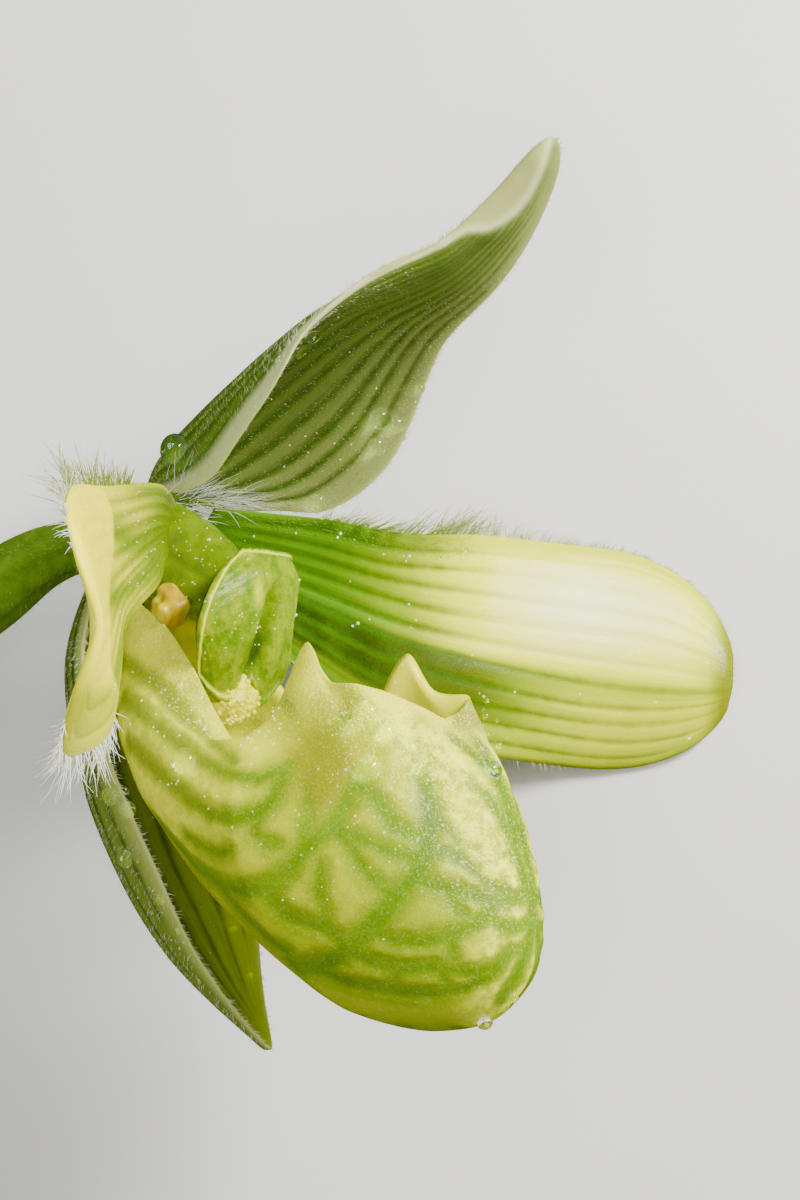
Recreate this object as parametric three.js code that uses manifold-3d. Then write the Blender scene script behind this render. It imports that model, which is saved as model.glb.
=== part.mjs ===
// Slipper orchid flower, cut with its own stem and lying on its side.
// Lengths in millimetres, +Z up. The flower's own frame is [side, forward, up]:
// side is positive toward the flower's right, forward is the way it faces.
import * as THREE from 'three';
import { mergeVertices } from 'three/addons/utils/BufferGeometryUtils.js';
import Module from 'manifold-3d';

// ---- how the flower lies -------------------------------------------------
const SIDE_AXIS = [-0.541, 0.076, 0.838];    // the flower's three directions in the part frame
const FORWARD_AXIS = [0.791, -0.292, 0.537];
const UP_AXIS = [0.286, 0.953, 0.098];
const HEART = [-17.6, 3.0, 0.0];             // where sepals and petals meet
const FLOOR_DROP = 22.4;                     // the heart's height over the ground
const SHIFT_X = 13.67, SHIFT_Y = 13.71;        // puts the box's middle on the origin

// ---- driving sizes -------------------------------------------------------
const GAP = 0.3;                 // between neighbouring pieces
const SEPAL_THICK = 1.0, PETAL_THICK = 1.1, MARGIN_THICK = 0.66;
const POUCH_WALL = 1.1;
const MARGIN_HALF = 0.15;        // half-width that is left at a blade's end
const OVARY_RIBS = 6, OVARY_RIB_DEPTH = 0.06;
const SCAPE_R = 1.9;

const V = (a) => new THREE.Vector3(a[0], a[1], a[2]);
const toPart = (p) => new THREE.Vector3(
  HEART[0] + SIDE_AXIS[0] * p.x + FORWARD_AXIS[0] * p.y + UP_AXIS[0] * p.z + SHIFT_X,
  HEART[1] + SIDE_AXIS[1] * p.x + FORWARD_AXIS[1] * p.y + UP_AXIS[1] * p.z + SHIFT_Y,
  HEART[2] + SIDE_AXIS[2] * p.x + FORWARD_AXIS[2] * p.y + UP_AXIS[2] * p.z + FLOOR_DROP);

// ---- smooth runs through listed values -----------------------------------
function spline(list, t) {
  const vec = Array.isArray(list[0]);
  const P = list.map((p) => (vec ? p : [p]));
  const n = P.length, l = Math.min(Math.max(t, 0), 1) * (n - 1);
  const i = Math.min(Math.floor(l), n - 2), w = l - i, out = [];
  for (let c = 0; c < P[0].length; c++) {
    const p1 = P[i][c], p2 = P[i + 1][c];
    const p0 = i > 0 ? P[i - 1][c] : 2 * p1 - p2, p3 = i + 2 < n ? P[i + 2][c] : 2 * p2 - p1;
    const t0 = (p2 - p0) / 2, t1 = (p3 - p1) / 2;
    out.push((2 * p1 - 2 * p2 + t0 + t1) * w ** 3 + (-3 * p1 + 3 * p2 - 2 * t0 - t1) * w * w + t0 * w + p1);
  }
  return vec ? V(out) : out[0];
}

// ---- sepals and petals: a rib, a direction across it, and widths and curls on both sides
const DORSAL_SEPAL = {
  rib: [[0, -2.4, 3.4], [0, -0.6, 8.5], [0, 4.0, 15], [0, 9.9, 21.5], [0, 17.3, 27.5], [0, 22.3, 37.9]],
  across: [[-1, 0, 0], [-1, 0, 0], [-1, 0, 0], [-1, 0, 0], [-1, 0.1, 0], [-1, 0.2, 0]], plus: [3.6, 8.8, 12.6, 14.2, 14.2, 12.6, 10.0, 7.3, 5.3, 4.5, 4.1],
  minus: [2.8, 5.9, 9.1, 11.0, 12.0, 12.4, 11.9, 8.2, 3.1, 1.4, 1.2], curlPlus: [30, 40, 50, 52, 48, 40, 30, 18, 10, 4, 0],
  curlMinus: [60, 68, 82, 88, 78, 64, 50, 38, 20, 8, 0], flareMinus: [0, 0, 0, 0, -0.35, -0.6],
  blunt: 0.8, round: 2, power: 0.6, thick: SEPAL_THICK,
};
const PETAL_LEFT = {
  rib: [[-2.4, 0.4, 1.2], [-12.2, 4.2, -0.1], [-20.8, 8.5, -1.3], [-28.2, 13.5, -1.3], [-34.8, 19, -0.6], [-41.5, 27.4, 1.2]],
  across: [[0, 0.25, -1], [0, 0.36, -0.93], [0, 0.36, -0.93], [0, 0.33, -0.95], [-0.1, 0.3, -0.95], [-0.1, 0.3, -0.95]],
  plus: [2.8, 5.2, 7.8, 9.2, 9.2, 8.6, 8.2, 8.1, 8.2, 8.1, 7.6], minus: [3.2, 4.3, 5.3, 6.2, 7.5, 8.7, 9.5, 10.0, 10.3, 10.2, 10.0],
  curlPlus: [20, 20, 5, -18, -30, -34], curlMinus: [20, 15, 0, -15, -30, -36],
  trough: [0.3, 0.45, 0.3, 0.1, 0, 0], blunt: 0.8, round: 2.2, power: 0.45, thick: PETAL_THICK,
};
const PETAL_RIGHT = {
  rib: [[2.4, 0.9, 2.2], [10, 5.6, 1.4], [18.5, 10.7, 0.6], [27.5, 16.6, 0.2], [35, 22.0, 0.4], [41.5, 27.2, 0.4]],
  across: [[0, -0.25, 1], [0, -0.4, 0.9], [0, -0.4, 0.9], [0, -0.4, 0.9], [0, -0.4, 0.9], [0, -0.4, 0.9]],
  plus: [2.0, 3.4, 4.6, 5.4, 6.0, 6.5, 7.0, 7.4, 7.7, 7.8, 7.6], minus: [1.2, 1.7, 2.2, 2.4, 2.6, 3.2, 5.6, 8.6, 9.5, 9.5, 9.1],
  curlPlus: [20, 18, 15, 8, 0, -4, -8, -12, -18, -26, -30], curlMinus: [20, 15, 10, 5, 0, -4, -2, -6, -22, -36, -44],
  trough: [0.2, 0.25, 0.2, 0.1, 0, 0], blunt: 0.8, round: 2.3, power: 0.4, thick: PETAL_THICK,
};
const SYNSEPAL = {
  rib: [[0, -5.0, -1.9], [0, -4.5, -9.5], [0, -0.8, -16.2], [0, 4.4, -21.9], [0, 12, -27.1], [0, 21.5, -30.8]],
  across: [[1, 0, 0], [1, 0, 0], [1, 0, 0], [1, 0, 0], [1, 0, 0], [1, 0, 0]],
  plus: [3.8, 6.6, 8.1, 8.7, 8.5, 4.8], minus: [3.4, 7.4, 9.2, 9.0, 7.8, 4],
  curlPlus: [60, 74, 84, 88, 78, 50], curlMinus: [60, 74, 76, 72, 62, 50],
  blunt: 0.7, round: 1.8, power: 0.8, thick: SEPAL_THICK,
};
const STAMINODE = {
  rib: [[0, 9.0, 3.3], [0, 9.9, 1.4], [0, 10.3, -1.0], [0, 10.3, -3.6], [0, 9.9, -6.0]],
  across: [[1, 0, 0], [1, 0, 0], [1, 0, 0], [1, 0, 0], [1, 0, 0]], plus: [2.6, 4.7, 6.1, 6.9, 6.9, 5.9, 4.2],
  minus: [3.4, 4.4, 3.8, 3.3, 3.4, 4.0, 4.3], curlPlus: [-40, -40, -40, -40, -40], curlMinus: [-40, -40, -38, -30, -20, -12, -8],
  trough: [0, 0.12, 0.18, 0.18, 0.1], lobes: 2.5, tooth: 0, blunt: 2, round: 2, power: 1, thick: 1.2,
};

function bladePoint(spec, t, v) {
  const rib = spline(spec.rib, t);
  const tan = spline(spec.rib, Math.min(t + 0.01, 1)).sub(spline(spec.rib, Math.max(t - 0.01, 0))).normalize();
  const across = spline(spec.across, t);
  across.addScaledVector(tan, -across.dot(tan)).normalize();
  const face = new THREE.Vector3().crossVectors(across, tan);
  const s = Math.min(Math.max((t - spec.blunt) / (1 - spec.blunt), 0), 1);
  const tip = spec.blunt > 1 ? 1 : (1 - s ** spec.round) ** spec.power;
  const plus = v >= 0, a = Math.abs(v);
  const w = spline(plus ? spec.plus : spec.minus, t) * tip + MARGIN_HALF + (spec.grow || 0);
  let k = spline(plus ? spec.curlPlus : spec.curlMinus, t) * Math.PI / 180;
  if (Math.abs(k) < 1e-3) k = 1e-3;
  const lateral = w * Math.sin(k * a) / k;
  let lift = w * (1 - Math.cos(k * a)) / k;
  if (spec.flareMinus && !plus) lift += w * spline(spec.flareMinus, t) * a ** 3;
  if (spec.trough) lift += spline(spec.trough, t) * w * (Math.sqrt(a * a + 0.02) - Math.sqrt(0.02));
  const p = rib.addScaledVector(across, Math.sign(v) * lateral).addScaledVector(face, lift);
  if (spec.lobes) {
    p.addScaledVector(tan, t ** 3 * (spec.lobes * Math.exp(-(((a - 0.48) / (plus ? 0.5 : 0.38)) ** 2))
      + spec.tooth * Math.exp(-((v / 0.14) ** 2)) - 0.5));
  }
  return p;
}
function bladeNormal(spec, t, v) {
  const e = 0.004, t0 = Math.max(t - e, 0), t1 = Math.min(t + e, 1), v0 = Math.max(v - e, -1), v1 = Math.min(v + e, 1);
  const dt = bladePoint(spec, t1, v).sub(bladePoint(spec, t0, v));
  const dv = bladePoint(spec, t, v1).sub(bladePoint(spec, t, v0));
  return new THREE.Vector3().crossVectors(dv, dt).normalize();
}

// ---- closed skins over a grid of points: front and back faces split alike --
function closedGrid(rows, cols, front, back, wrap) {
  const pos = [], idx = [], C = wrap ? cols : cols + 1;
  const put = (f) => { for (let i = 0; i <= rows; i++) for (let j = 0; j < C; j++) { const p = toPart(f(i / rows, j / cols)); pos.push(p.x, p.y, p.z); } };
  put(front); put(back);
  const B = (rows + 1) * C, at = (i, j) => i * C + (wrap ? j % cols : j);
  for (let i = 0; i < rows; i++) for (let j = 0; j < cols; j++) {
    const a = at(i, j), b = at(i, j + 1), c = at(i + 1, j + 1), d = at(i + 1, j);
    idx.push(a, b, c, a, c, d, B + a, B + c, B + b, B + a, B + d, B + c);
  }
  const edge = (a, b) => idx.push(b, B + a, a, b, B + b, B + a);
  for (let j = 0; j < cols; j++) { edge(at(0, j + 1), at(0, j)); edge(at(rows, j), at(rows, j + 1)); }
  if (!wrap) for (let i = 0; i < rows; i++) { edge(at(i, 0), at(i + 1, 0)); edge(at(i + 1, cols), at(i, cols)); }
  const g = new THREE.BufferGeometry();
  g.setAttribute('position', new THREE.Float32BufferAttribute(pos, 3));
  g.setIndex(idx.map((x) => x));
  return g;
}

const wasm = await Module();
wasm.setup();
function solid(geometry) {
  const g = mergeVertices(geometry, 1e-5);
  const tri = new Uint32Array(g.index.array), keep = [];
  for (let i = 0; i < tri.length; i += 3) {
    if (tri[i] !== tri[i + 1] && tri[i + 1] !== tri[i + 2] && tri[i] !== tri[i + 2]) keep.push(tri[i], tri[i + 1], tri[i + 2]);
  }
  const make = (t) => new wasm.Manifold(new wasm.Mesh({
    numProp: 3, vertProperties: new Float32Array(g.attributes.position.array), triVerts: new Uint32Array(t) }));
  const m = make(keep);
  if (m.volume() > 0) return m;
  for (let i = 0; i < keep.length; i += 3) { const x = keep[i + 1]; keep[i + 1] = keep[i + 2]; keep[i + 2] = x; }
  return make(keep);
}

function blade(spec, rows, cols, grow = 0) {
  const s = grow ? { ...spec, grow } : spec;
  const half = (v) => (spec.thick + (MARGIN_THICK - spec.thick) * Math.abs(v) ** 1.5) / 2 + grow;
  const face = (sign) => (t, u) => {
    const v = 2 * u - 1;
    return bladePoint(s, t, v).addScaledVector(bladeNormal(s, t, v), sign * half(v));
  };
  return solid(closedGrid(rows, cols, face(1), face(-1), false));
}

// ---- stalks: a round or ribbed section swept along a smooth run -----------
function frameAt(path, t) {
  const tan = spline(path, Math.min(t + 0.01, 1)).sub(spline(path, Math.max(t - 0.01, 0))).normalize();
  const e1 = new THREE.Vector3(1, 0, 0); e1.addScaledVector(tan, -e1.dot(tan)).normalize();
  return { e1, e2: new THREE.Vector3().crossVectors(tan, e1), tan };
}
function sweep(path, radii, rows, cols, { grow = 0, flat = 1, ribs = 0, depth = 0 } = {}) {
  const pos = [], idx = [];
  for (let i = 0; i <= rows; i++) {
    const t = i / rows, c = spline(path, t), f = frameAt(path, t), r = spline(radii, t);
    for (let j = 0; j < cols; j++) {
      const q = 2 * Math.PI * j / cols, k = (r + grow) * (1 + depth * Math.cos(ribs * q));
      const p = toPart(c.clone().addScaledVector(f.e1, k * Math.cos(q)).addScaledVector(f.e2, k * flat * Math.sin(q)));
      pos.push(p.x, p.y, p.z);
    }
  }
  const ends = [0, 1].map((t) => { const p = toPart(spline(path, t).addScaledVector(frameAt(path, t).tan, (t ? 1 : -1) * (grow + 0.2 * spline(radii, t)))); pos.push(p.x, p.y, p.z); return pos.length / 3 - 1; });
  for (let i = 0; i < rows; i++) for (let j = 0; j < cols; j++) {
    const a = i * cols + j, b = i * cols + (j + 1) % cols, c = b + cols, d = a + cols;
    idx.push(a, b, c, a, c, d);
  }
  for (let j = 0; j < cols; j++) { idx.push(ends[0], (j + 1) % cols, j, ends[1], rows * cols + j, rows * cols + (j + 1) % cols); }
  const g = new THREE.BufferGeometry();
  g.setAttribute('position', new THREE.Float32BufferAttribute(pos, 3));
  g.setIndex(idx);
  return solid(g);
}

// ---- the pouch: rings from its folded rim down to its lowest point --------
const RIM = [[0, 27.5, -3.5], [2.6, 27.0, -2.9], [5.4, 25.7, -2.4], [7.3, 24.3, -2.4], [7.1, 21.6, -2.9], [6.6, 18.8, -1.0],
  [6.3, 17.9, -4.4], [7.3, 18.3, -8], [7, 16.2, -9.6], [6, 12.6, -8.2], [5, 8.6, -5.8], [3.8, 4.4, -4], [2.4, -0.2, -3.2], [0, -2.0, -3.2]];
const FRONT = [[0, 33.4, -6.2], [0, 38.2, -12.2], [0, 40.2, -17.4], [0, 38.6, -21.8], [0, 34.4, -24.4]];
const FLANK = [[10.2, 18.5, -9.5], [11.6, 20.5, -14], [10.9, 23, -18.3], [8.6, 26.0, -21.8], [5, 29.2, -24.4]];
const HEEL = [[0, 0.4, -10.6], [0, 5.5, -16.0], [0, 12.7, -19.7], [0, 19.4, -22.2], [0, 25.0, -24.2]];
const SOLE = [0, 30.4, -25.1];
const TOE_NARROW = 0.2, HEEL_NARROW = 0.12;
function pouchPoint(r, q) {                    // r: 0 rim to 1 sole, q: 0..1 all the way round from the toe
  const turn = q <= 0.5 ? q * 2 : 2 - q * 2, sign = q <= 0.5 ? 1 : -1, th = Math.PI * turn;
  const rim = spline(RIM, turn), run = [[rim.x, rim.y, rim.z]], C = Math.cos(th), S = Math.sin(th) * (1 - TOE_NARROW * Math.max(C, 0) - HEEL_NARROW * Math.max(-C, 0));
  for (let i = 0; i < FRONT.length; i++) {
    const f = FRONT[i], s = FLANK[i], b = HEEL[i];
    run.push([s[0] * S, s[1] + (f[1] - b[1]) / 2 * C + ((f[1] + b[1]) / 2 - s[1]) * C * C, s[2] + (f[2] - b[2]) / 2 * C + ((f[2] + b[2]) / 2 - s[2]) * C * C]);
  }
  run.push(SOLE);
  const p = spline(run, r);
  p.x *= sign;
  return p;
}
function pouchNormal(r, q) {
  const e = 0.006, r1 = Math.min(r, 0.985);
  const dr = pouchPoint(r1 + e, q).sub(pouchPoint(Math.max(r1 - e, 0), q));
  const dq = pouchPoint(r1, (q + e) % 1).sub(pouchPoint(r1, (q - e + 1) % 1));
  return new THREE.Vector3().crossVectors(dq, dr).normalize();
}
const POUCH_END = 0.96;
function pouchSkin(inset, rows, cols) {
  const pos = [], idx = [];
  const wall = (r) => (inset > 0 ? inset * (0.62 + 0.38 * Math.min(r / 0.2, 1)) : inset);
  for (let i = 0; i <= rows; i++) for (let j = 0; j < cols; j++) {
    const r = POUCH_END * (i / rows) ** 1.15, q = j / cols;
    const p = pouchPoint(r, q).addScaledVector(pouchNormal(r, q), -wall(r));
    pos.push(p);
  }
  const mid = new THREE.Vector3();
  for (let j = 0; j < cols; j++) mid.add(pos[rows * cols + j]);
  pos.push(mid.divideScalar(cols).add(new THREE.Vector3(0, 0, -0.12)));
  for (let i = 0; i < rows; i++) for (let j = 0; j < cols; j++) {
    const a = i * cols + j, b = i * cols + (j + 1) % cols;
    idx.push(a, b, b + cols, a, b + cols, a + cols);
  }
  for (let j = 0; j < cols; j++) idx.push(rows * cols + j, rows * cols + (j + 1) % cols, pos.length - 1);
  return { pos, idx };
}
function pouch(rows, cols, grow = 0) {
  const outer = pouchSkin(-grow, rows, cols), inner = pouchSkin(POUCH_WALL, rows, cols), n = outer.pos.length;
  const pos = [], idx = [...outer.idx];
  for (const p of [...outer.pos, ...inner.pos]) { const q = toPart(p); pos.push(q.x, q.y, q.z); }
  for (let i = 0; i < inner.idx.length; i += 3) idx.push(n + inner.idx[i], n + inner.idx[i + 2], n + inner.idx[i + 1]);
  for (let j = 0; j < cols; j++) { const k = (j + 1) % cols; idx.push(k, j, n + j, k, n + j, n + k); }
  const g = new THREE.BufferGeometry();
  g.setAttribute('position', new THREE.Float32BufferAttribute(pos, 3));
  g.setIndex(idx);
  return solid(g);
}

// ---- stem runs, in the flower's frame -------------------------------------
const local = (x, y, z) => {                   // a point given from the heart along the part's axes
  const d = [x - HEART[0], y - HEART[1], z - HEART[2]];
  return [SIDE_AXIS, FORWARD_AXIS, UP_AXIS].map((a) => a[0] * d[0] + a[1] * d[1] + a[2] * d[2]);
};
const OVARY_RUN = [[0, -3.2, 0.5], [0, -7.7, -1.1], [0, -11.5, -3.4], [0, -15.2, -7.2], [0, -20, -12.5], [0, -24.6, -18.2]];
const OVARY_R = [2.4, 2.0, 2.3, 2.8, 2.9, 2.3];
const SCAPE_RUN = [[0, -25.4, -19.2], local(-48.4, -12.0, -19.15), local(-51.6, -20, -19.45), local(-52.7, -31, -19.9), local(-52.4, -45, -20.6), local(-52, -60, -20.8)];
const SCAPE_RADII = [1.9, SCAPE_R, SCAPE_R, SCAPE_R, SCAPE_R, SCAPE_R];
const COLUMN_RUN = [[0, -2.2, 1.4], [0, 1.2, 1.0], [0, 5, 0.2], [0, 9.2, -0.8]];
const COLUMN_R = [3.1, 3.1, 2.6, 1.9];
const STIGMA_RUN = [[0, 5.4, -2.6], [0, 7.2, -5.2], [0, 8.8, -7.8], [0, 9.8, -9.8]];
const STIGMA_R = [1.3, 1.8, 3.0, 1.6];
const antherRun = (s) => [[s * 1.6, 3.0, -1.2], [s * 2.7, 3.7, -2.7], [s * 3.4, 4.2, -4.2]];
const ANTHER_R = [0.9, 1.6, 0.9];
const BRACT_THICK = 0.7;

function bract(rows, cols) {
  const run = [...SCAPE_RUN.slice(0, 3).reverse(), [0, -22.8, -15.9], [0, -19, -11.4], [0, -15.6, -7.6]];
  const radius = [1.92, 1.96, 2.35, 2.9, 3.5, 3.9];
  const face = (sign) => (t, u) => {
    const q = 0.12 + 0.62 * t, c = spline(run, q), f = frameAt(run, q);
    const open = (168 * (1 - t ** 2.2) + 5) * Math.PI / 180, a = (2 * u - 1) * open;
    const r = spline(radius, q) + GAP + 0.08 + (sign > 0 ? BRACT_THICK : 0);
    return c.addScaledVector(f.e2, -r * Math.cos(a)).addScaledVector(f.e1, r * Math.sin(a));
  };
  return solid(closedGrid(rows, cols, face(1), face(-1), false));
}

// ---- the pieces; where two meet, one is cut back to leave the gap ---------
const sweepBoth = (...a) => {
  const options = a[4] || {};
  return [sweep(a[0], a[1], a[2], a[3], options), sweep(a[0], a[1], a[2], a[3], { ...options, grow: GAP })];
};
const [ovary, ovaryWide] = sweepBoth(OVARY_RUN, OVARY_R, 18, 24, { ribs: OVARY_RIBS, depth: OVARY_RIB_DEPTH });
const [columnFull, columnWide] = sweepBoth(COLUMN_RUN, COLUMN_R, 8, 18);
const staminode = blade(STAMINODE, 13, 18), staminodeWide = blade(STAMINODE, 13, 18, GAP);
const dorsalWide = blade(DORSAL_SEPAL, 28, 20, GAP), column = columnFull.subtract(staminodeWide).subtract(ovaryWide);
const [antherLeft, antherLeftWide] = sweepBoth(antherRun(-1), ANTHER_R, 6, 12);
const [antherRight, antherRightWide] = sweepBoth(antherRun(1), ANTHER_R, 6, 12);
const pouchWide = pouch(21, 48, GAP);
const ground = wasm.Manifold.cube([300, 300, 20], true).translate([0, 0, -10]);
const cut = (piece, ...tools) => tools.reduce((m, t) => m.subtract(t), piece);
const pieces = {
  dorsal_sepal: cut(blade(DORSAL_SEPAL, 28, 18), columnWide, ovaryWide),
  synsepal: cut(blade(SYNSEPAL, 24, 16), ovaryWide, pouchWide),
  petal_left: cut(blade(PETAL_LEFT, 26, 14), columnWide, antherLeftWide, dorsalWide, ground),
  petal_right: cut(blade(PETAL_RIGHT, 26, 14), columnWide, antherRightWide, dorsalWide, pouchWide),
  pouch: cut(pouch(21, 48), ovaryWide, columnWide),
  column,
  staminode,
  stigma: cut(sweep(STIGMA_RUN, STIGMA_R, 8, 14, { flat: 0.75 }), columnWide, staminodeWide, staminode),
  anther_left: cut(antherLeft, columnWide, pouchWide),
  anther_right: cut(antherRight, columnWide, pouchWide),
  ovary,
  bract: cut(bract(14, 20), ground),
  scape: cut(sweep(SCAPE_RUN, SCAPE_RADII, 26, 16), ground),
};
const COLORS = {
  dorsal_sepal: 0xb9c492, synsepal: 0x8f9f5a, petal_left: 0xc9d27a, petal_right: 0xb8cf5c, pouch: 0xbfc95a,
  column: 0x86b81e, staminode: 0x7fc41a, stigma: 0xe6d61c, anther_left: 0xe0a52a, anther_right: 0xe0a52a,
  ovary: 0x6f8f3a, bract: 0x7f9a48, scape: 0x67873a,
};
export { pieces };

const group = new THREE.Group();
group.name = 'slipper_orchid_flower';
for (const [name, m] of Object.entries(pieces)) {
  const mesh = m.getMesh(), g = new THREE.BufferGeometry(), n = mesh.numProp, v = [];
  for (let i = 0; i < mesh.vertProperties.length; i += n) v.push(mesh.vertProperties[i], mesh.vertProperties[i + 1], mesh.vertProperties[i + 2]);
  g.setAttribute('position', new THREE.Float32BufferAttribute(v, 3));
  g.setIndex(new THREE.BufferAttribute(new Uint32Array(mesh.triVerts), 1));
  g.computeVertexNormals();
  const node = new THREE.Mesh(g, new THREE.MeshStandardMaterial({ color: COLORS[name], roughness: 0.5 }));
  node.name = name;
  group.add(node);
}
export default group;
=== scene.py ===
"""A slipper orchid flower, picked and laid on its side: sepals, petals, net-veined pouch, column and stem."""
import math
import random
import bpy
import bmesh
import numpy as np
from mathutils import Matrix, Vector
from mathutils.bvhtree import BVHTree


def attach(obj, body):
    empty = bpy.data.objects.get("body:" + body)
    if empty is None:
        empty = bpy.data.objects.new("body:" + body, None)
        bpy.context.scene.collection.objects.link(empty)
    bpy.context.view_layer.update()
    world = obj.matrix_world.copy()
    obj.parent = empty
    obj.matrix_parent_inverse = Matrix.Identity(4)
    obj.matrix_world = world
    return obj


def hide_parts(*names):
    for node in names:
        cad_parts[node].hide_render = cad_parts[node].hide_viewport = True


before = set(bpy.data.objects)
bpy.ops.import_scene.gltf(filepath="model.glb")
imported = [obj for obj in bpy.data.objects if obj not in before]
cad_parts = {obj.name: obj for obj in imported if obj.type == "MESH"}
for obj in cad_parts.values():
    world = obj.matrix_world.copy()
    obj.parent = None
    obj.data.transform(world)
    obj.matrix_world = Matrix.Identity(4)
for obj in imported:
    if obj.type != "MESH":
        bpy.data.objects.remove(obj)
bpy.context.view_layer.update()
MM = 0.001

# ---- how the flower lies: its own [side, forward, up] millimetres, as in the part ----
SIDE_AXIS, FORWARD_AXIS, UP_AXIS = (-0.541, 0.076, 0.838), (0.791, -0.292, 0.537), (0.286, 0.953, 0.098)
TURN = np.array([SIDE_AXIS, FORWARD_AXIS, UP_AXIS])
MIDDLE = (13.67, 13.71, 22.4)      # what the camera looks at, in the part's millimetres
REACH = 260.0                      # from there up to the camera
FRAME = (800, 1200)
UNIT = 0.075                       # millimetres, at MIDDLE's height, for one unit of the frame
HEART = np.array([-17.6 + MIDDLE[0], 3.0 + MIDDLE[1], MIDDLE[2]])
EYE = np.array([MIDDLE[0], MIDDLE[1], MIDDLE[2] + REACH])


def laid(p):
    """Points in the flower's own millimetres, as metres on the ground and never under it."""
    out = (HEART + np.asarray(p, float) @ TURN) * MM
    out[..., 2] = np.maximum(out[..., 2], 0)
    return out


def lifted(p):
    """Metres, back in the flower's own millimetres."""
    return (np.asarray(p, float) / MM - HEART) @ TURN.T


def sight(x, y):
    """The line of sight through a place in the frame."""
    return Vector(((x - FRAME[0] / 2) * UNIT, (FRAME[1] / 2 - y) * UNIT, -REACH)).normalized()

def seen(p):
    """Where points, in metres, lie in the frame."""
    q = np.asarray(p, float) / MM - EYE
    k = -REACH / q[:, 2] / UNIT
    return FRAME[0] / 2 + q[:, 0] * k, FRAME[1] / 2 - q[:, 1] * k

def own(p):
    """A point in the part's millimetres, in the flower's own."""
    return list(TURN @ (np.array(p, float) - HEART))


def run(values, t):
    """A smooth run through listed values or points."""
    P = np.array(values, float)
    flat = P.ndim == 1
    if flat:
        P = P[:, None]
    t = np.clip(np.atleast_1d(t), 0, 1) * (len(P) - 1)
    i = np.minimum(t.astype(int), len(P) - 2)
    w = (t - i)[:, None]
    E = np.vstack([2 * P[0] - P[1], P, 2 * P[-1] - P[-2]])
    a, b, c, d = E[i], E[i + 1], E[i + 2], E[i + 3]
    u, v = (c - a) / 2, (d - b) / 2
    out = (2 * b - 2 * c + u + v) * w ** 3 + (3 * c - 3 * b - 2 * u - v) * w ** 2 + u * w + b
    return out[:, 0] if flat else out


def unit(a):
    return a / np.maximum(np.linalg.norm(a, axis=-1, keepdims=True), 1e-9)


def smooth(lo, hi, x):
    """0 at lo and 1 at hi, level outside; lo may be the larger."""
    x = np.clip((x - lo) / (hi - lo), 0, 1)
    return x * x * (3 - 2 * x)

def bell(x, wide, y=0.0, high=1.0):
    """1 in the middle, falling off over wide and, the other way, over high."""
    return np.exp(-(x / wide) ** 2 - (y / high) ** 2)

def rounded(x):
    """A quarter circle: 0 at 0, and 1 from 1 on."""
    return np.sqrt(np.clip(1 - (1 - np.clip(x, 0, 1)) ** 2, 0, 1))

def half_width(shape, t, v):
    """Millimetres from a blade's rib to its margin, on the side where v lies."""
    return np.where(v >= 0, run(shape["plus"], t), run(shape["minus"], t))

# ---- sepals, petals and staminode ----
DORSAL_SEPAL = dict(
    rib=[(0, -2.4, 3.4), (0, -0.6, 8.5), (0, 4.0, 15), (0, 9.9, 21.5), (0, 17.3, 27.5), (0, 22.3, 37.9)],
    across=[(-1, 0, 0), (-1, 0, 0), (-1, 0, 0), (-1, 0, 0), (-1, 0.1, 0), (-1, 0.2, 0)],
    plus=[3.6, 8.8, 12.6, 14.2, 14.2, 12.6, 10.0, 7.3, 5.3, 4.5, 4.1],
    minus=[2.8, 5.9, 9.1, 11.0, 12.0, 12.4, 11.9, 8.2, 3.1, 1.4, 1.2],
    curl_plus=[30, 40, 50, 52, 48, 40, 30, 18, 10, 4, 0], curl_minus=[60, 68, 82, 88, 78, 64, 50, 38, 20, 8, 0],
    flare_minus=[0, 0, 0, 0, -0.35, -0.6], blunt=0.8, round=2, power=0.6, thick=1.0)
PETAL_LEFT = dict(
    rib=[(-2.4, 0.4, 1.2), (-12.2, 4.2, -0.1), (-20.8, 8.5, -1.3), (-28.2, 13.5, -1.3), (-34.8, 19, -0.6),
         (-41.5, 27.4, 1.2)],
    across=[(0, 0.25, -1), (0, 0.36, -0.93), (0, 0.36, -0.93), (0, 0.33, -0.95), (-0.1, 0.3, -0.95), (-0.1, 0.3, -0.95)],
    plus=[2.8, 5.2, 7.8, 9.2, 9.2, 8.6, 8.2, 8.1, 8.2, 8.1, 7.6],
    minus=[3.2, 4.3, 5.3, 6.2, 7.5, 8.7, 9.5, 10.0, 10.3, 10.2, 10.0],
    curl_plus=[20, 20, 5, -18, -30, -34], curl_minus=[20, 15, 0, -15, -30, -36],
    trough=[0.3, 0.45, 0.3, 0.1, 0, 0], blunt=0.8, round=2.2, power=0.45, thick=1.1)
PETAL_RIGHT = dict(
    rib=[(2.4, 0.9, 2.2), (10, 5.6, 1.4), (18.5, 10.7, 0.6), (27.5, 16.6, 0.2), (35, 22.0, 0.4), (41.5, 27.2, 0.4)],
    across=[(0, -0.25, 1), (0, -0.4, 0.9), (0, -0.4, 0.9), (0, -0.4, 0.9), (0, -0.4, 0.9), (0, -0.4, 0.9)],
    plus=[2.0, 3.4, 4.6, 5.4, 6.0, 6.5, 7.0, 7.4, 7.7, 7.8, 7.6],
    minus=[1.2, 1.7, 2.2, 2.4, 2.6, 3.2, 5.6, 8.6, 9.5, 9.5, 9.1],
    curl_plus=[20, 18, 15, 8, 0, -4, -8, -12, -18, -26, -30], curl_minus=[20, 15, 10, 5, 0, -4, -2, -6, -22, -36, -44],
    trough=[0.2, 0.25, 0.2, 0.1, 0, 0], blunt=0.8, round=2.3, power=0.4, thick=1.1)
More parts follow.
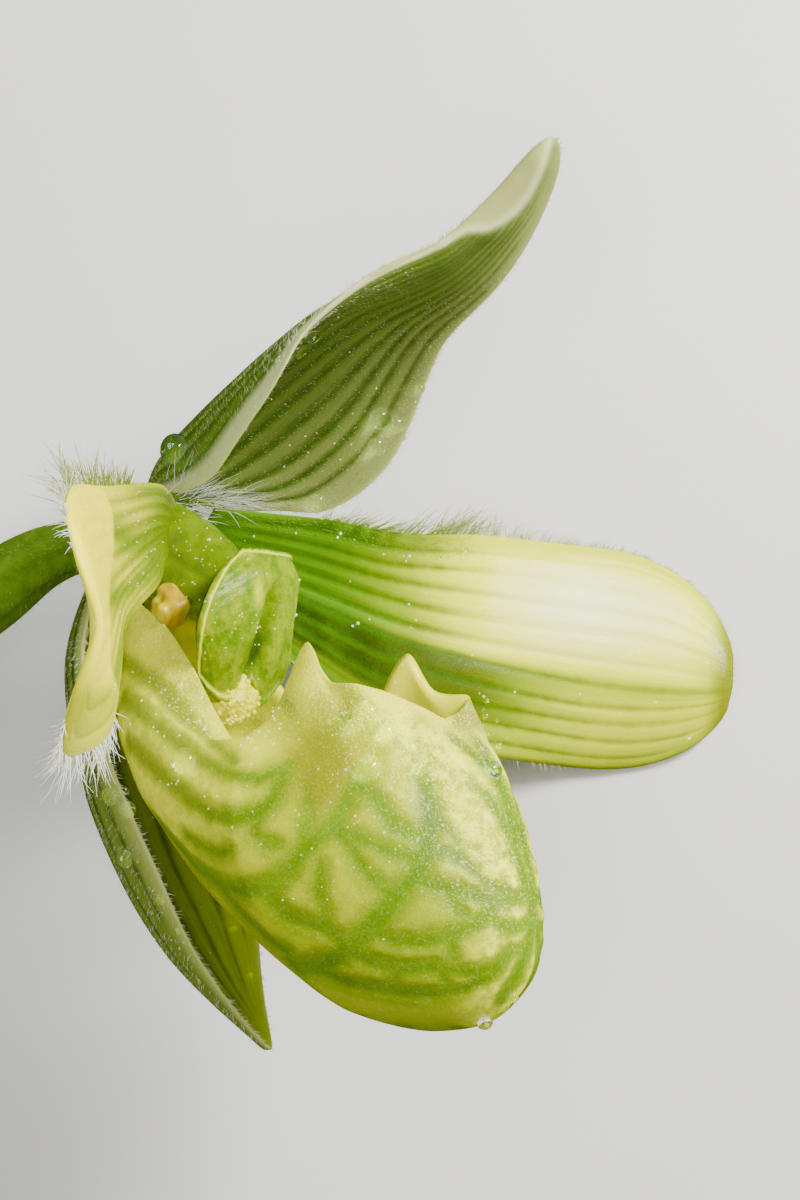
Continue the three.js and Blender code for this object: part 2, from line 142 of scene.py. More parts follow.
SYNSEPAL = dict(
    rib=[(0, -5.0, -1.9), (0, -4.5, -9.5), (0, -0.8, -16.2), (0, 4.4, -21.9), (0, 12, -27.1), (0, 21.5, -30.8)],
    across=[(1, 0, 0)] * 6,
    plus=[3.8, 6.6, 8.1, 8.7, 8.5, 4.8], minus=[3.4, 7.4, 9.2, 9.0, 7.8, 4],
    curl_plus=[60, 74, 84, 88, 78, 50], curl_minus=[60, 74, 76, 72, 62, 50],
    blunt=0.7, round=1.8, power=0.8, thick=1.0)
STAMINODE = dict(
    rib=[(0, 9.0, 3.3), (0, 9.9, 1.4), (0, 10.3, -1.0), (0, 10.3, -3.6), (0, 9.9, -6.0)],
    across=[(1, 0, 0)] * 5,
    plus=[2.6, 4.7, 6.1, 6.9, 6.9, 5.9, 4.2], minus=[3.4, 4.4, 3.8, 3.3, 3.4, 4.0, 4.3],
    curl_plus=[-40] * 5, curl_minus=[-40, -40, -38, -30, -20, -12, -8],
    trough=[0, 0.12, 0.18, 0.18, 0.1], lobes=2.5, thick=1.2)


def blade_at(shape, t, v):
    """The middle of a blade at t along its rib and v across it, -1 to 1, in the flower's own millimetres."""
    t, v = np.asarray(t, float), np.asarray(v, float)
    tangent = unit(run(shape["rib"], np.minimum(t + 0.01, 1)) - run(shape["rib"], np.maximum(t - 0.01, 0)))
    across = run(shape["across"], t)
    across = unit(across - (across * tangent).sum(-1, keepdims=True) * tangent)
    face = np.cross(across, tangent)
    tip = 1.0
    if "blunt" in shape:
        tip = (1 - np.clip((t - shape["blunt"]) / (1 - shape["blunt"]), 0, 1) ** shape["round"]) ** shape["power"]
    plus, a = v >= 0, abs(v)
    w = half_width(shape, t, v) * tip + 0.15
    k = np.radians(np.where(plus, run(shape["curl_plus"], t), run(shape["curl_minus"], t)))
    k = np.where(abs(k) < 1e-3, 1e-3, k)
    sideways, lift = w * np.sin(k * a) / k, w * (1 - np.cos(k * a)) / k
    if "flare_minus" in shape:
        lift = lift + np.where(plus, 0, w * run(shape["flare_minus"], t) * a ** 3)
    if "trough" in shape:
        lift = lift + run(shape["trough"], t) * w * (np.sqrt(a * a + 0.02) - math.sqrt(0.02))
    p = run(shape["rib"], t) + across * (np.sign(v) * sideways)[:, None] + face * lift[:, None]
    if "lobes" in shape:
        lobe = shape["lobes"] * bell(a - 0.48, np.where(plus, 0.50, 0.38)) - 0.5
        p = p + tangent * (t ** 3 * lobe)[:, None]
    return p


def blade_face(shape, t, v):
    """Which way a blade's front looks."""
    e = 0.004
    along = blade_at(shape, np.minimum(t + e, 1), v) - blade_at(shape, np.maximum(t - e, 0), v)
    over = blade_at(shape, t, np.minimum(v + e, 1)) - blade_at(shape, t, np.maximum(v - e, -1))
    return unit(np.cross(over, along))


# ---- meshes: two grids, front and back, drawn over the shape and closed along their edges ----
def skin(name, across, along, front, back, finishes, replaced=(), inner=0):
    """front and back give points for (u, t) in 0..1; the two sheets meet where their points do."""
    bm = bmesh.new()
    uv = bm.loops.layers.uv.new("Lie")
    spots = [bm.verts.layers.float.new(n) for n in ("U", "T", "Side")]
    for k, place in enumerate((front, back)):
        rows = inner if k and inner else along
        made = bmesh.ops.create_grid(bm, x_segments=across, y_segments=rows, size=0.5)["verts"]
        u = np.array([p.co.x + 0.5 for p in made])
        t = np.array([p.co.y + 0.5 for p in made])
        for p, q in zip(made, laid(place(u, t))):
            p.co = q
        for p, a, b in zip(made, u, t):
            p[spots[0]], p[spots[1]], p[spots[2]] = a, b, 1 - 2 * k
        where = {p: (a, b) for p, a, b in zip(made, u, t)}
        faces = {f for p in made for f in p.link_faces}
        for f in faces:
            f.material_index = min(k, len(finishes) - 1)
            for c in f.loops:
                c[uv].uv = where[c.vert]
        if k:
            bmesh.ops.reverse_faces(bm, faces=list(faces))
    bmesh.ops.remove_doubles(bm, verts=bm.verts, dist=2e-6)
    bmesh.ops.recalc_face_normals(bm, faces=bm.faces)
    return keep(bm, name, finishes, replaced)


def set_down(bm, name, finishes):
    """What was modelled, as a smooth mesh at the origin."""
    mesh = bpy.data.meshes.new(name)
    bm.to_mesh(mesh)
    bm.free()
    for p in mesh.polygons:
        p.use_smooth = True
    for m in finishes:
        mesh.materials.append(m)
    thing = bpy.data.objects.new(name, mesh)
    bpy.context.scene.collection.objects.link(thing)
    return thing

def keep(bm, name, finishes, replaced=()):
    """A piece of the flower and the nodes that it stands for."""
    piece = set_down(bm, name, finishes)
    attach(piece, "root")
    if replaced:
        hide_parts(*replaced)
    return piece

def read(piece, name):
    out = np.zeros(len(piece.data.vertices))
    piece.data.attributes[name].data.foreach_get("value", out)
    return out


def points(piece, what="co"):
    out = np.zeros(len(piece.data.vertices) * 3)
    piece.data.vertices.foreach_get(what, out)
    return out.reshape(-1, 3)

def mark(piece, **values):
    """Keep a value at each vertex, for the finish to read."""
    for name, value in values.items():
        layer = piece.data.attributes.new(name, "FLOAT", "POINT")
        layer.data.foreach_set("value", np.asarray(value, np.float32) + np.zeros(len(layer.data), np.float32))


def nerve_gap(shape, t, v, nerves):
    """Millimetres from the nearest nerve's edge, negative on it; a nerve is (v, half width, t where it ends, waviness)."""
    half = half_width(shape, t, v)
    gap = np.full(len(t), 9.0)
    for v0, w, end, wave in nerves:
        at = v0 + wave * np.sin(7 * t + 9 * v0)
        wide = w * (1 - 0.75 * np.clip(t / end, 0, 1) ** 1.6) * (0.75 + 0.25 * smooth(0, 0.15, t))
        wide = np.where(t > end, wide - (t - end) * 12, wide)
        gap = np.minimum(gap, abs(v - at) * half - wide)
    return gap


def wall(piece):
    m = piece.data
    return BVHTree.FromPolygons([tuple(v.co) for v in m.vertices], [tuple(p.vertices) for p in m.polygons])


def blade_t(shape, t):
    """Rows lie closer together at the base and the tip."""
    return 0.5 - 0.5 * np.cos(t * math.pi) if shape is STAMINODE else t - 0.03 * np.sin(2 * math.pi * t)


def blade_v(u):
    return np.sin((u - 0.5) * math.pi)


def blade_skin(name, shape, across, along, finishes, node, relief, edge=0.4):
    """A blade with rounded margins. relief adds millimetres to front and back for (t, v)."""
    def sheet(sign):
        def place(u, t):
            v, t = blade_v(u), blade_t(shape, t)
            half = shape["thick"] * (1 - 0.45 * abs(v) ** 1.5) * edge
            half = half * np.sqrt(np.clip(1 - abs(v) ** 14, 0, 1)) * rounded(t / 0.015) * rounded((1 - t) / 0.015)
            return blade_at(shape, t, v) + blade_face(shape, t, v) * (sign * half + relief(t, v, sign))[:, None]
        return place
    return skin(name, across, along, sheet(1), sheet(-1), finishes, (node,))

# ---- the pouch ----
RIM = [(0, 27.5, -3.5), (2.6, 27.0, -2.9), (5.4, 25.7, -2.4), (7.3, 24.3, -2.4), (7.1, 21.6, -2.9), (6.6, 18.8, -1.0),
       (6.3, 17.9, -4.4), (7.3, 18.3, -8), (7, 16.2, -9.6), (6, 12.6, -8.2), (5, 8.6, -5.8), (3.8, 4.4, -4),
       (2.4, -0.2, -3.2), (0, -2.0, -3.2)]
FRONT = [(0, 33.4, -6.2), (0, 38.2, -12.2), (0, 40.2, -17.4), (0, 38.6, -21.8), (0, 34.4, -24.4)]
FLANK = [(10.2, 18.5, -9.5), (11.6, 20.5, -14), (10.9, 23, -18.3), (8.6, 26.0, -21.8), (5, 29.2, -24.4)]
HEEL = [(0, 0.4, -10.6), (0, 5.5, -16.0), (0, 12.7, -19.7), (0, 19.4, -22.2), (0, 25.0, -24.2)]
SOLE = (0, 30.4, -25.1)


def pouch_at(q, r):
    """q goes round from the toe and back to it, 0 to 1; r goes from the rim, 0, to the sole, 1."""
    q, r = np.asarray(q, float) % 1.0, np.asarray(r, float)
    turn, near = np.where(q <= 0.5, q * 2, 2 - q * 2), np.where(q <= 0.5, 1, -1)
    th = math.pi * turn
    C = np.cos(th)
    S = np.sin(th) * (1 - 0.2 * np.maximum(C, 0) - 0.12 * np.maximum(-C, 0))
    rows = [run(RIM, turn)]
    for f, s, b in zip(FRONT, FLANK, HEEL):
        rows.append(np.stack([s[0] * S] + [s[i] + (f[i] - b[i]) / 2 * C + ((f[i] + b[i]) / 2 - s[i]) * C * C for i in (1, 2)], 1))
    rows.append(np.tile(SOLE, (len(q), 1)))
    E = np.array([2 * rows[0] - rows[1]] + rows + [2 * rows[-1] - rows[-2]])
    t = np.clip(r, 0, 1) * (len(rows) - 1)
    i = np.minimum(t.astype(int), len(rows) - 2)
    w = (t - i)[:, None]
    n = np.arange(len(q))
    a, b, c, d = E[i, n], E[i + 1, n], E[i + 2, n], E[i + 3, n]
    u, v = (c - a) / 2, (d - b) / 2
    p = (2 * b - 2 * c + u + v) * w ** 3 + (3 * c - 3 * b - 2 * u - v) * w ** 2 + u * w + b
    p[:, 0] *= near
    return p


def pouch_face(q, r):
    e, r = 0.006, np.minimum(r, 0.985)
    down = pouch_at(q, r + e) - pouch_at(q, np.maximum(r - e, 0))
    round_ = pouch_at(q + e, r) - pouch_at(q - e, r)
    return unit(np.cross(round_, down))


# ---- stalks ----
def stalk_frame(path, t):
    tangent = unit(run(path, np.minimum(t + 0.01, 1)) - run(path, np.maximum(t - 0.01, 0)))
    e1 = unit(np.array([1.0, 0, 0]) - tangent[:, :1] * tangent)
    return e1, np.cross(tangent, e1), tangent


def stalk_skin(name, path, radii, around, along, finish, node, ribs=0, depth=0.0, flat=1.0, ends=(0.02, 0.02),
               relief=None):
    """A closed stalk: a grid rolled round the run, drawn in to a rounded end at both ends."""
    bm = bmesh.new()
    uv = bm.loops.layers.uv.new("Lie")
    made = bmesh.ops.create_grid(bm, x_segments=around, y_segments=along, size=0.5)["verts"]
    q = np.array([p.co.x + 0.5 for p in made])
    t = np.array([p.co.y + 0.5 for p in made])
    t = t - 0.06 * np.sin(2 * math.pi * t)
    e1, e2, _ = stalk_frame(path, t)
    a = 2 * math.pi * q
    close = rounded(t / ends[0]) * rounded((1 - t) / ends[1])
    k = run(radii, t) * (1 + depth * np.cos(ribs * a))
    if relief:
        k = k + relief(q, t)
    k = k * close
    place = run(path, t) + e1 * (k * np.cos(a))[:, None] + e2 * (k * flat * np.sin(a))[:, None]
    for p, x in zip(made, laid(place)):
        p.co = x
    where = {p: (x, y) for p, x, y in zip(made, q, t)}
    for f in bm.faces:
        for c in f.loops:
            c[uv].uv = where[c.vert]
    bmesh.ops.remove_doubles(bm, verts=bm.verts, dist=2e-6)
    bmesh.ops.recalc_face_normals(bm, faces=bm.faces)
    return keep(bm, name, [finish], (node,))


# ---- finishes ----
class Finish:
    """A material built from small steps; each step gives a socket."""

    def __init__(self, name, **sockets):
        self.material = bpy.data.materials.new(name)
        self.material.use_nodes = True
        self.tree = self.material.node_tree
        self.shader = self.tree.nodes["Principled BSDF"]
        for key, value in sockets.items():
            self.shader.inputs[key.replace("_", " ")].default_value = value
        self.place = self.node("ShaderNodeTexCoord").outputs["Object"]

    def node(self, kind):
        return self.tree.nodes.new(kind)

    def lie_map(self):
        """The piece's own map: u across it, t along it."""
        n = self.node("ShaderNodeUVMap")
        n.uv_map = "Lie"
        self.lie = n.outputs[0]
        return self

    def value(self, name):
        """What mark() kept on the piece."""
        n = self.node("ShaderNodeAttribute")
        n.attribute_type, n.attribute_name = "GEOMETRY", name
        return n.outputs["Fac"]

    def join(self, a, b):
        if hasattr(a, "is_output"):
            self.tree.links.new(a, b)
        elif isinstance(a, tuple) and len(a) == 3 and len(getattr(b, "default_value", (0,) * 3)) == 4:
            b.default_value = (*a, 1)
        else:
            b.default_value = a

    def math(self, op, a, b=0.0, c=0.0, clamp=False):
        n = self.node("ShaderNodeMath")
        n.operation, n.use_clamp = op, clamp
        for k, x in enumerate((a, b, c)):
            self.join(x, n.inputs[k])
        return n.outputs[0]

    def map(self, x, a, b, c=0.0, d=1.0):
        """x from a to b, as c to d, smoothly."""
        n = self.node("ShaderNodeMapRange")
        n.interpolation_type = "SMOOTHSTEP"
        self.join(x, n.inputs[0])
        for k, y in zip((1, 2, 3, 4), (a, b, c, d)):
            n.inputs[k].default_value = y
        return n.outputs[0]

    def mix(self, fac, a, b):
        n = self.node("ShaderNodeMix")
        n.data_type = "RGBA"
        for x, k in ((fac, 0), (a, 6), (b, 7)):
            self.join(x, n.inputs[k])
        return n.outputs[2]

    def noise(self, scale, detail=2.0, rough=0.5, on=None, stretch=None):
        n = self.node("ShaderNodeTexNoise")
        for key, value in (("Scale", scale), ("Detail", detail), ("Roughness", rough)):
            n.inputs[key].default_value = value
        where = on or self.place
        if stretch:
            turned = self.node("ShaderNodeMapping")
            turned.inputs["Scale"].default_value = stretch
            self.tree.links.new(where, turned.inputs["Vector"])
            where = turned.outputs[0]
        self.tree.links.new(where, n.inputs["Vector"])
        return n.outputs[0]

    def cells(self, scale, randomness):
        """How far it is to the edge between two cells."""
        n = self.node("ShaderNodeTexVoronoi")
        n.feature = "DISTANCE_TO_EDGE"
        n.inputs["Scale"].default_value = scale
        n.inputs["Randomness"].default_value = randomness
        self.tree.links.new(self.place, n.inputs["Vector"])
        return n.outputs["Distance"]

    def sum(self, a, b):
        return self.math("ADD", a, b)

    def times(self, a, b):
        return self.math("MULTIPLY", a, b)

    def bump(self, height, strength=0.3, distance=0.0002, under=None):
        n = self.node("ShaderNodeBump")
        n.inputs["Strength"].default_value = strength
        n.inputs["Distance"].default_value = distance
        self.join(height, n.inputs["Height"])
        if under is not None:
            self.tree.links.new(under, n.inputs["Normal"])
        return n.outputs[0]

    def color(self, socket):
        self.join(socket, self.shader.inputs["Base Color"])
        return self

    def wear(self, rough=None, normal=None):
        if rough is not None:
            self.join(rough, self.shader.inputs["Roughness"])
        if normal is not None:
            self.join(normal, self.shader.inputs["Normal"])
            self.join(normal, self.shader.inputs["Coat Normal"])
        return self.material


SOFT = dict(Subsurface_Weight=0.30, Subsurface_Radius=(0.7, 1.0, 0.08), Subsurface_Scale=0.0010)


def shades(color, k):
    return tuple(c * k for c in color)


def blade_finish(name, ground, nerve, deep, pale, rim, soft=0.22, rough=(0.42, 0.62), grain=9000, fleck=0.12, milk=None,
                 **sockets):
    """A blade's skin: nerves over a ground that goes deep in one place and pale in another, and a rim. The deep places
    are painted shade on the dorsal sepal and the far petal; the whitening is a painted highlight on the far petal, and
    partly painted light on the near petal.
    """
    f = Finish(name, **SOFT, **sockets).lie_map()
    streak = f.noise(46, 4, 0.65, on=f.lie, stretch=(1, 0.07, 1))
    blot = f.noise(420, 3, 0.6)
    ruffle = f.times(f.math("SUBTRACT", f.noise(700, 3, 0.65), 0.5), 0.4)

    def ragged(layer, k):
        """How strong a layer is, with an edge that follows the streaks."""
        shift = f.times(f.math("SUBTRACT", streak, 0.5), f.map(f.value(layer), 0.02, 0.3, 0.0, k))
        return f.math("MULTIPLY_ADD", f.value(layer), 1.0, shift, clamp=True)

    body = f.mix(f.map(streak, 0.3, 0.72), ground, shades(ground, 0.74))
    shade = f.mix(f.map(streak, 0.35, 0.7), deep, shades(deep, 0.7))
    # Deep: painted shade in the dorsal sepal's fold and in the far petal's furrow, and a painted shadow at the far
    # petal's base; on the synsepal and the near petal, darker towards the base and the margins.
    body = f.mix(f.times(f.value("Deep"), f.map(blot, 0.2, 0.75, 0.75, 1.0)), body, shade)
    body = f.mix(ragged("Pale", 0.35), body, f.mix(f.map(blot, 0.3, 0.7), pale, shades(pale, 0.9)))
    # The whitening layer: a painted highlight on the far petal, whose white core stands for the brightest of it; on the
    # near petal, partly the strip's own cream and partly painted light.
    if milk:
        white = f.map(f.sum(f.value("Milk"), f.times(streak, 0.08)), 0.84, 1.06)
        body = f.mix(ragged("Milk", 0.5), body, f.mix(white, milk, (0.97, 0.97, 0.40)))
    line = f.times(f.map(f.sum(f.value("Nerve"), ruffle), soft, -soft), f.value("Bold"))
    body = f.mix(line, body, f.mix(f.map(blot, 0.3, 0.7), nerve, shades(nerve, 0.72)))
    edge = f.times(f.math("SUBTRACT", blot, 0.5), f.times(f.value("Rim"), 0.6))
    body = f.mix(f.math("MULTIPLY_ADD", f.value("Rim"), 1.0, edge, clamp=True), body, rim)
    fine = f.noise(grain, 2, 0.6)
    f.color(f.mix(f.map(fine, 0.45, 0.8, 0.0, fleck), body, shades(pale, 0.9)))
    ridges = f.bump(f.math("SUBTRACT", streak, f.times(line, 0.5)), 0.25, 0.00016)
    return f.wear(f.map(fine, 0.3, 0.7, *rough), f.bump(fine, 0.4, 0.00006, under=ridges))

DULL = dict(Specular_IOR_Level=0.10)
MOIST = dict(Specular_IOR_Level=0.12, Coat_Weight=0.14, Coat_Roughness=0.14)
# sepal_front's deep green is painted shade for the dorsal sepal's fold.
sepal_front = blade_finish("sepal_front", (0.105, 0.160, 0.014), (0.034, 0.084, 0.0), (0.056, 0.115, 0.001),
                           (0.36, 0.38, 0.13), (0.52, 0.53, 0.26), soft=0.34, fleck=0.34, **DULL)
sepal_back = blade_finish("sepal_back", (0.165, 0.270, 0.014), (0.050, 0.125, 0.0), (0.100, 0.210, 0.002),
                          (0.40, 0.43, 0.13), (0.50, 0.53, 0.24), fleck=0.2, **DULL)
# lower_front's greens are lifted to make up for the shade on the synsepal's inner face: partly its own colour, partly
# painted light.
lower_front = blade_finish("lower_sepal_front", (0.36, 0.46, 0.006), (0.14, 0.23, 0.0), (0.26, 0.34, 0.002),
                           (0.46, 0.48, 0.08), (0.42, 0.46, 0.10), **DULL)
lower_back = blade_finish("lower_sepal_back", (0.150, 0.215, 0.018), (0.030, 0.068, 0.0), (0.07, 0.12, 0.003),
                          (0.48, 0.52, 0.14), (0.52, 0.55, 0.20), fleck=0.2, **DULL)
# petal_face's deep green is painted shade for the far petal's furrow and base, and its whitening colour a painted
# highlight.
petal_face = blade_finish("petal_face", (0.085, 0.215, 0.0), (0.036, 0.120, 0.0), (0.016, 0.040, 0.0), (0.40, 0.49, 0.0),
                          (0.17, 0.19, 0.0),
                          soft=0.34, rough=(0.24, 0.42), grain=6000, fleck=0.05, milk=(0.94, 0.96, 0.03), **MOIST)
# near_face's whitening colour is partly the strip's own cream, partly painted light.
near_face = blade_finish("near_petal_face", (0.205, 0.310, 0.0), (0.100, 0.190, 0.0), (0.070, 0.150, 0.0),
                         (0.95, 0.84, 0.0), (0.62, 0.58, 0.0),
                         soft=0.34, rough=(0.24, 0.42), grain=6000, fleck=0.05, milk=(0.95, 0.87, 0.04), **MOIST)
petal_back = blade_finish("petal_back", (0.24, 0.42, 0.0), (0.12, 0.26, 0.0), (0.10, 0.17, 0.0), (0.84, 0.80, 0.10),
                          (0.50, 0.55, 0.0),
                          soft=0.3, rough=(0.30, 0.46), grain=6000, fleck=0.08, **MOIST)


def net_finish(name):
    """Green netting over yellow-green cells, with painted shade low on the pouch, a painted highlight and painted light
    that whiten the cells, and white flecks that paint glints.
    """
    f = Finish(name, Specular_IOR_Level=0.12, Coat_Weight=0.16, Coat_Roughness=0.10, **SOFT)
    blot, fine, sand = f.noise(300, 3, 0.6), f.noise(3800, 3, 0.65), f.noise(5200, 2, 0.7)
    gap = f.sum(f.value("Net"), f.times(f.math("SUBTRACT", f.noise(900, 3, 0.6), 0.5), 0.9))
    wild = f.times(f.map(f.cells(190, 0.9), 0.10, 0.02), f.value("Wild"))
    line = f.times(f.math("MAXIMUM", f.map(gap, 0.46, -0.40), wild), f.value("Bold"))
    cell = f.mix(f.map(gap, 0.25, 1.25), (0.200, 0.285, 0.0), (0.43, 0.475, 0.0))
    cell = f.mix(f.map(blot, 0.34, 0.72, 0.0, 0.55), cell, (0.27, 0.33, 0.0))
    # Painted shade: darker cells where Low is marked, on the sole.
    cell = f.mix(f.value("Low"), cell, f.mix(f.map(gap, 0.2, 1.3), (0.17, 0.26, 0.0), (0.29, 0.38, 0.0)))
    cell = f.mix(f.value("Flush"), cell, (0.21, 0.22, 0.0))
    # Painted highlight and painted light: cells whitened in patches along the bright streak, towards the lit far end
    # and on the heel.
    patchy = f.map(f.noise(1000, 4, 0.7), 0.38, 0.60, 0.25, 1.0)
    milky = f.times(f.math("MAXIMUM", f.map(gap, 0.05, 0.9), f.value("Hot")), patchy)
    cell = f.mix(f.times(f.value("Milk"), milky), cell, (0.90, 0.96, 0.03))
    # The horns' and throat's own cream, and painted light on the heel.
    cell = f.mix(f.value("Cream"), cell, (0.80, 0.81, 0.01))
    body = f.mix(line, cell, f.mix(f.map(blot, 0.3, 0.7), (0.135, 0.250, 0.0), (0.090, 0.185, 0.0)))
    # Painted glints: white flecks where the grain mark is strong, over real grain bumps.
    grit = f.times(f.map(sand, 0.54, 0.70), f.value("Sugar"))
    f.color(f.mix(f.sum(f.map(fine, 0.58, 0.8, 0.0, 0.14), f.times(grit, 0.9)), body, (0.95, 0.97, 0.40)))
    pores = f.bump(fine, 0.4, 0.00006, under=f.bump(blot, 0.45, 0.0003))
    grains_ = f.bump(f.times(sand, f.value("Sugar")), 1.0, 0.00016, under=pores)
    return f.wear(f.map(fine, 0.3, 0.7, 0.22, 0.42), grains_)

def tissue(name, low, high, scale, gloss, coat, grain=0.3, tip=None, fleck=0.2):
    """Plain fleshy tissue: two greens in blots, fine cells, a lighter rim where the piece has one, and darker places
    where it has them; on the staminode the rim is a painted highlight and the darker places painted shade.
    """
    f = Finish(name, Coat_Weight=coat, Coat_Roughness=0.10, Specular_IOR_Level=0.15, **SOFT)
    spots, fine = f.noise(scale, 3, 0.6), f.noise(6500, 2, 0.6)
    body = f.mix(f.map(spots, 0.3, 0.7), low, high)
    body = f.mix(f.map(fine, 0.55, 0.8, 0.0, fleck), body, tuple(min(0.95, c * 1.7) for c in high))
    if tip:
        body = f.mix(f.value("Deep"), f.mix(f.value("Rim"), body, tip), shades(low, 0.45))
    pores = f.bump(fine, grain, 0.00006, under=f.bump(spots, 0.3, 0.0002))
    return f.color(body).wear(f.map(fine, 0.3, 0.7, gloss * 0.7, gloss * 1.3), pores)

def hair_finish(name, low, high):
    f = Finish(name, Roughness=0.35, **SOFT)
    return f.color(f.mix(f.noise(900), low, high)).material

pouch_outside = net_finish("pouch_outside")
pouch_inside = tissue("pouch_inside", (0.60, 0.64, 0.0), (0.86, 0.82, 0.0), 500, 0.25, 0.5, tip=(0.84, 0.80, 0.02))
column_finish = tissue("column_green", (0.090, 0.165, 0.0), (0.155, 0.235, 0.0), 700, 0.3, 0.35)
# The staminode's tip colour is its painted rim highlight; its darker places are painted shade.
staminode_finish = tissue("staminode_green", (0.085, 0.190, 0.0), (0.230, 0.300, 0.0), 900, 0.3, 0.16, 0.7,
                          tip=(0.70, 0.78, 0.02), fleck=0.6)
stigma_finish = tissue("stigma_yellow", (0.60, 0.57, 0.0), (0.80, 0.76, 0.0), 1400, 0.14, 1.0, 0.9)
anther_finish = tissue("anther_orange", (0.46, 0.25, 0.0), (0.54, 0.47, 0.0), 600, 0.3, 0.4, 0.6)
stem_finish = tissue("stem_green", (0.060, 0.135, 0.001), (0.105, 0.205, 0.006), 600, 0.5, 0.04)
bract_finish = tissue("bract_green", (0.12, 0.20, 0.01), (0.19, 0.28, 0.03), 500, 0.5, 0.04)
hair_white = hair_finish("hair_white", (0.62, 0.66, 0.46), (0.85, 0.86, 0.72))
hair_pale = hair_finish("hair_pale", (0.30, 0.35, 0.13), (0.52, 0.56, 0.32))
hair_green = hair_finish("hair_green", (0.10, 0.17, 0.01), (0.24, 0.33, 0.05))
# The water's greenish tint darkens the drops: painted shade for the dark that drops refract.
water = Finish("water", Transmission_Weight=1.0, IOR=1.36, Roughness=0.0, Coat_Weight=1.0, Coat_Roughness=0.07)
water = water.color((0.84, 0.93, 0.76)).wear(None, water.bump(water.noise(500), 0.05, 0.00005))
# Dew: white glossy beads, painted glints standing for the sparkle of the wet surface.
dew_finish = Finish("dew", Roughness=0.06, Coat_Weight=1.0, Coat_Roughness=0.03, Transmission_Weight=0.35)
dew_finish = dew_finish.color(dew_finish.mix(dew_finish.noise(3000), (0.86, 0.92, 0.45), (0.97, 0.98, 0.80))).material

# ---- the flower's pieces ----
FINE, MANY = ((1.0, 1.0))

def grains(n):
    return int(n * FINE)

def few(n):
    return int(n * MANY)

NERVES = dict(
    dorsal=[(-0.86, 0.30, 0.80, 0.01), (-0.74, 0.36, 0.84, 0.015), (-0.60, 0.40, 0.88, 0.02), (-0.45, 0.42, 0.92, 0.02),
            (-0.29, 0.45, 0.95, 0.02),
            (-0.13, 0.42, 0.95, 0.015), (0.02, 0.48, 0.98, 0.01), (0.16, 0.40, 0.96, 0.015), (0.30, 0.44, 0.95, 0.02),
            (0.44, 0.38, 0.93, 0.02),
            (0.58, 0.40, 0.90, 0.02), (0.71, 0.34, 0.86, 0.015), (0.84, 0.26, 0.78, 0.01)]
    + [(-0.91 + 0.146 * k, 0.14, 0.55 + 0.03 * (k % 4), 0.015) for k in range(13)],
    lower=[(-0.80, 0.25, 0.8, 0.01), (-0.62, 0.34, 0.88, 0.01), (-0.42, 0.38, 0.93, 0.015), (-0.2, 0.42, 0.96, 0.01),
           (0.02, 0.40, 0.97, 0.01),
           (0.24, 0.42, 0.96, 0.01), (0.46, 0.38, 0.92, 0.015), (0.65, 0.32, 0.86, 0.01), (0.82, 0.24, 0.78, 0.01)],
    petal=[(-0.84, 0.16, 0.90, 0.01), (-0.66, 0.20, 0.95, 0.015), (-0.47, 0.22, 0.97, 0.015), (-0.28, 0.22, 0.98, 0.012),
           (-0.08, 0.30, 0.99, 0.01),
           (0.12, 0.32, 0.99, 0.01), (0.32, 0.24, 0.98, 0.012), (0.50, 0.24, 0.97, 0.015), (0.68, 0.20, 0.95, 0.015),
           (0.85, 0.16, 0.90, 0.01)])


def pleat(shape, nerves, depth):
    """Nerves sink in the front and stand out behind, as a fold does."""
    def relief(t, v, sign):
        return -depth * smooth(0.5, -0.4, nerve_gap(shape, t, v, nerves)) * smooth(0, 0.12, t) * smooth(1.0, 0.9, t)
    return relief


CREASE = [(440, 243), (467, 229), (486, 228), (500, 222), (514, 212), (528, 196), (538, 176), (544, 160), (549, 142),
          (556, 128)]


def beside(line, x, y):
    """Frame units to the left of a line that runs upwards through listed places, and how far along it."""
    line = np.array(line, float)
    best, side = np.full(len(x), 1e9), np.zeros(len(x))
    for (x0, y0), (x1, y1) in zip(line, line[1:]):
        dx, dy = x1 - x0, y1 - y0
        k = np.clip(((x - x0) * dx + (y - y0) * dy) / (dx * dx + dy * dy), 0, 1)
        d = np.hypot(x - x0 - k * dx, y - y0 - k * dy)
        turn = np.sign(dx * (y - y0) - dy * (x - x0))
        side = np.where(d < best, -turn, side)
        best = np.minimum(best, d)
    return best * side


def dorsal_paint(v, t, side, p):
    left = beside(CREASE, *seen(p))
    smooth_face = smooth(0.70, 0.76, t) * smooth(-1, 2, left) * (side > 0)
    crease = bell(left, 4.0) * smooth(0.72, 0.78, t) * (side > 0)
    # Pale: painted light rising across the face towards the far margin, away from the fold's shade, with a paler strip
    # on the far margin itself, and paler towards the hairy tip.
    light = smooth(0.20, 0.75, v) * 0.26 + smooth(0.74, 1.0, v) * 0.42 + smooth(0.70, 1.0, t) * 0.26 * (1 - smooth_face)
    # Painted shade: darker towards the rolled near margin, from the base to past the middle, where the fold shades the
    # face.
    dark = np.clip(smooth(0.30, -0.80, v) * smooth(0.88, 0.5, t) * smooth(0.02, 0.25, t), 0, 1)
    margin = np.maximum(smooth(-0.84, -0.93, v) * (1 - smooth_face), smooth(0.97, 1.0, v) * 0.4)
    return dict(Pale=np.clip(light + smooth_face, 0, 1), Deep=dark * 0.85 * (1 - smooth_face),
                Rim=np.clip(margin + crease, 0, 1),
                Bold=smooth(1.0, 0.84, abs(v)) * smooth(1.02, 0.84, t) * (1 - smooth_face))

def lower_paint(v, t, side, p):
    return dict(Pale=smooth(0.80, 1.0, abs(v)) * 0.6, Deep=smooth(0.35, 0.0, t) * 0.6, Rim=smooth(0.96, 0.99, abs(v)) * 0.7,
                Bold=smooth(1.0, 0.88, t))


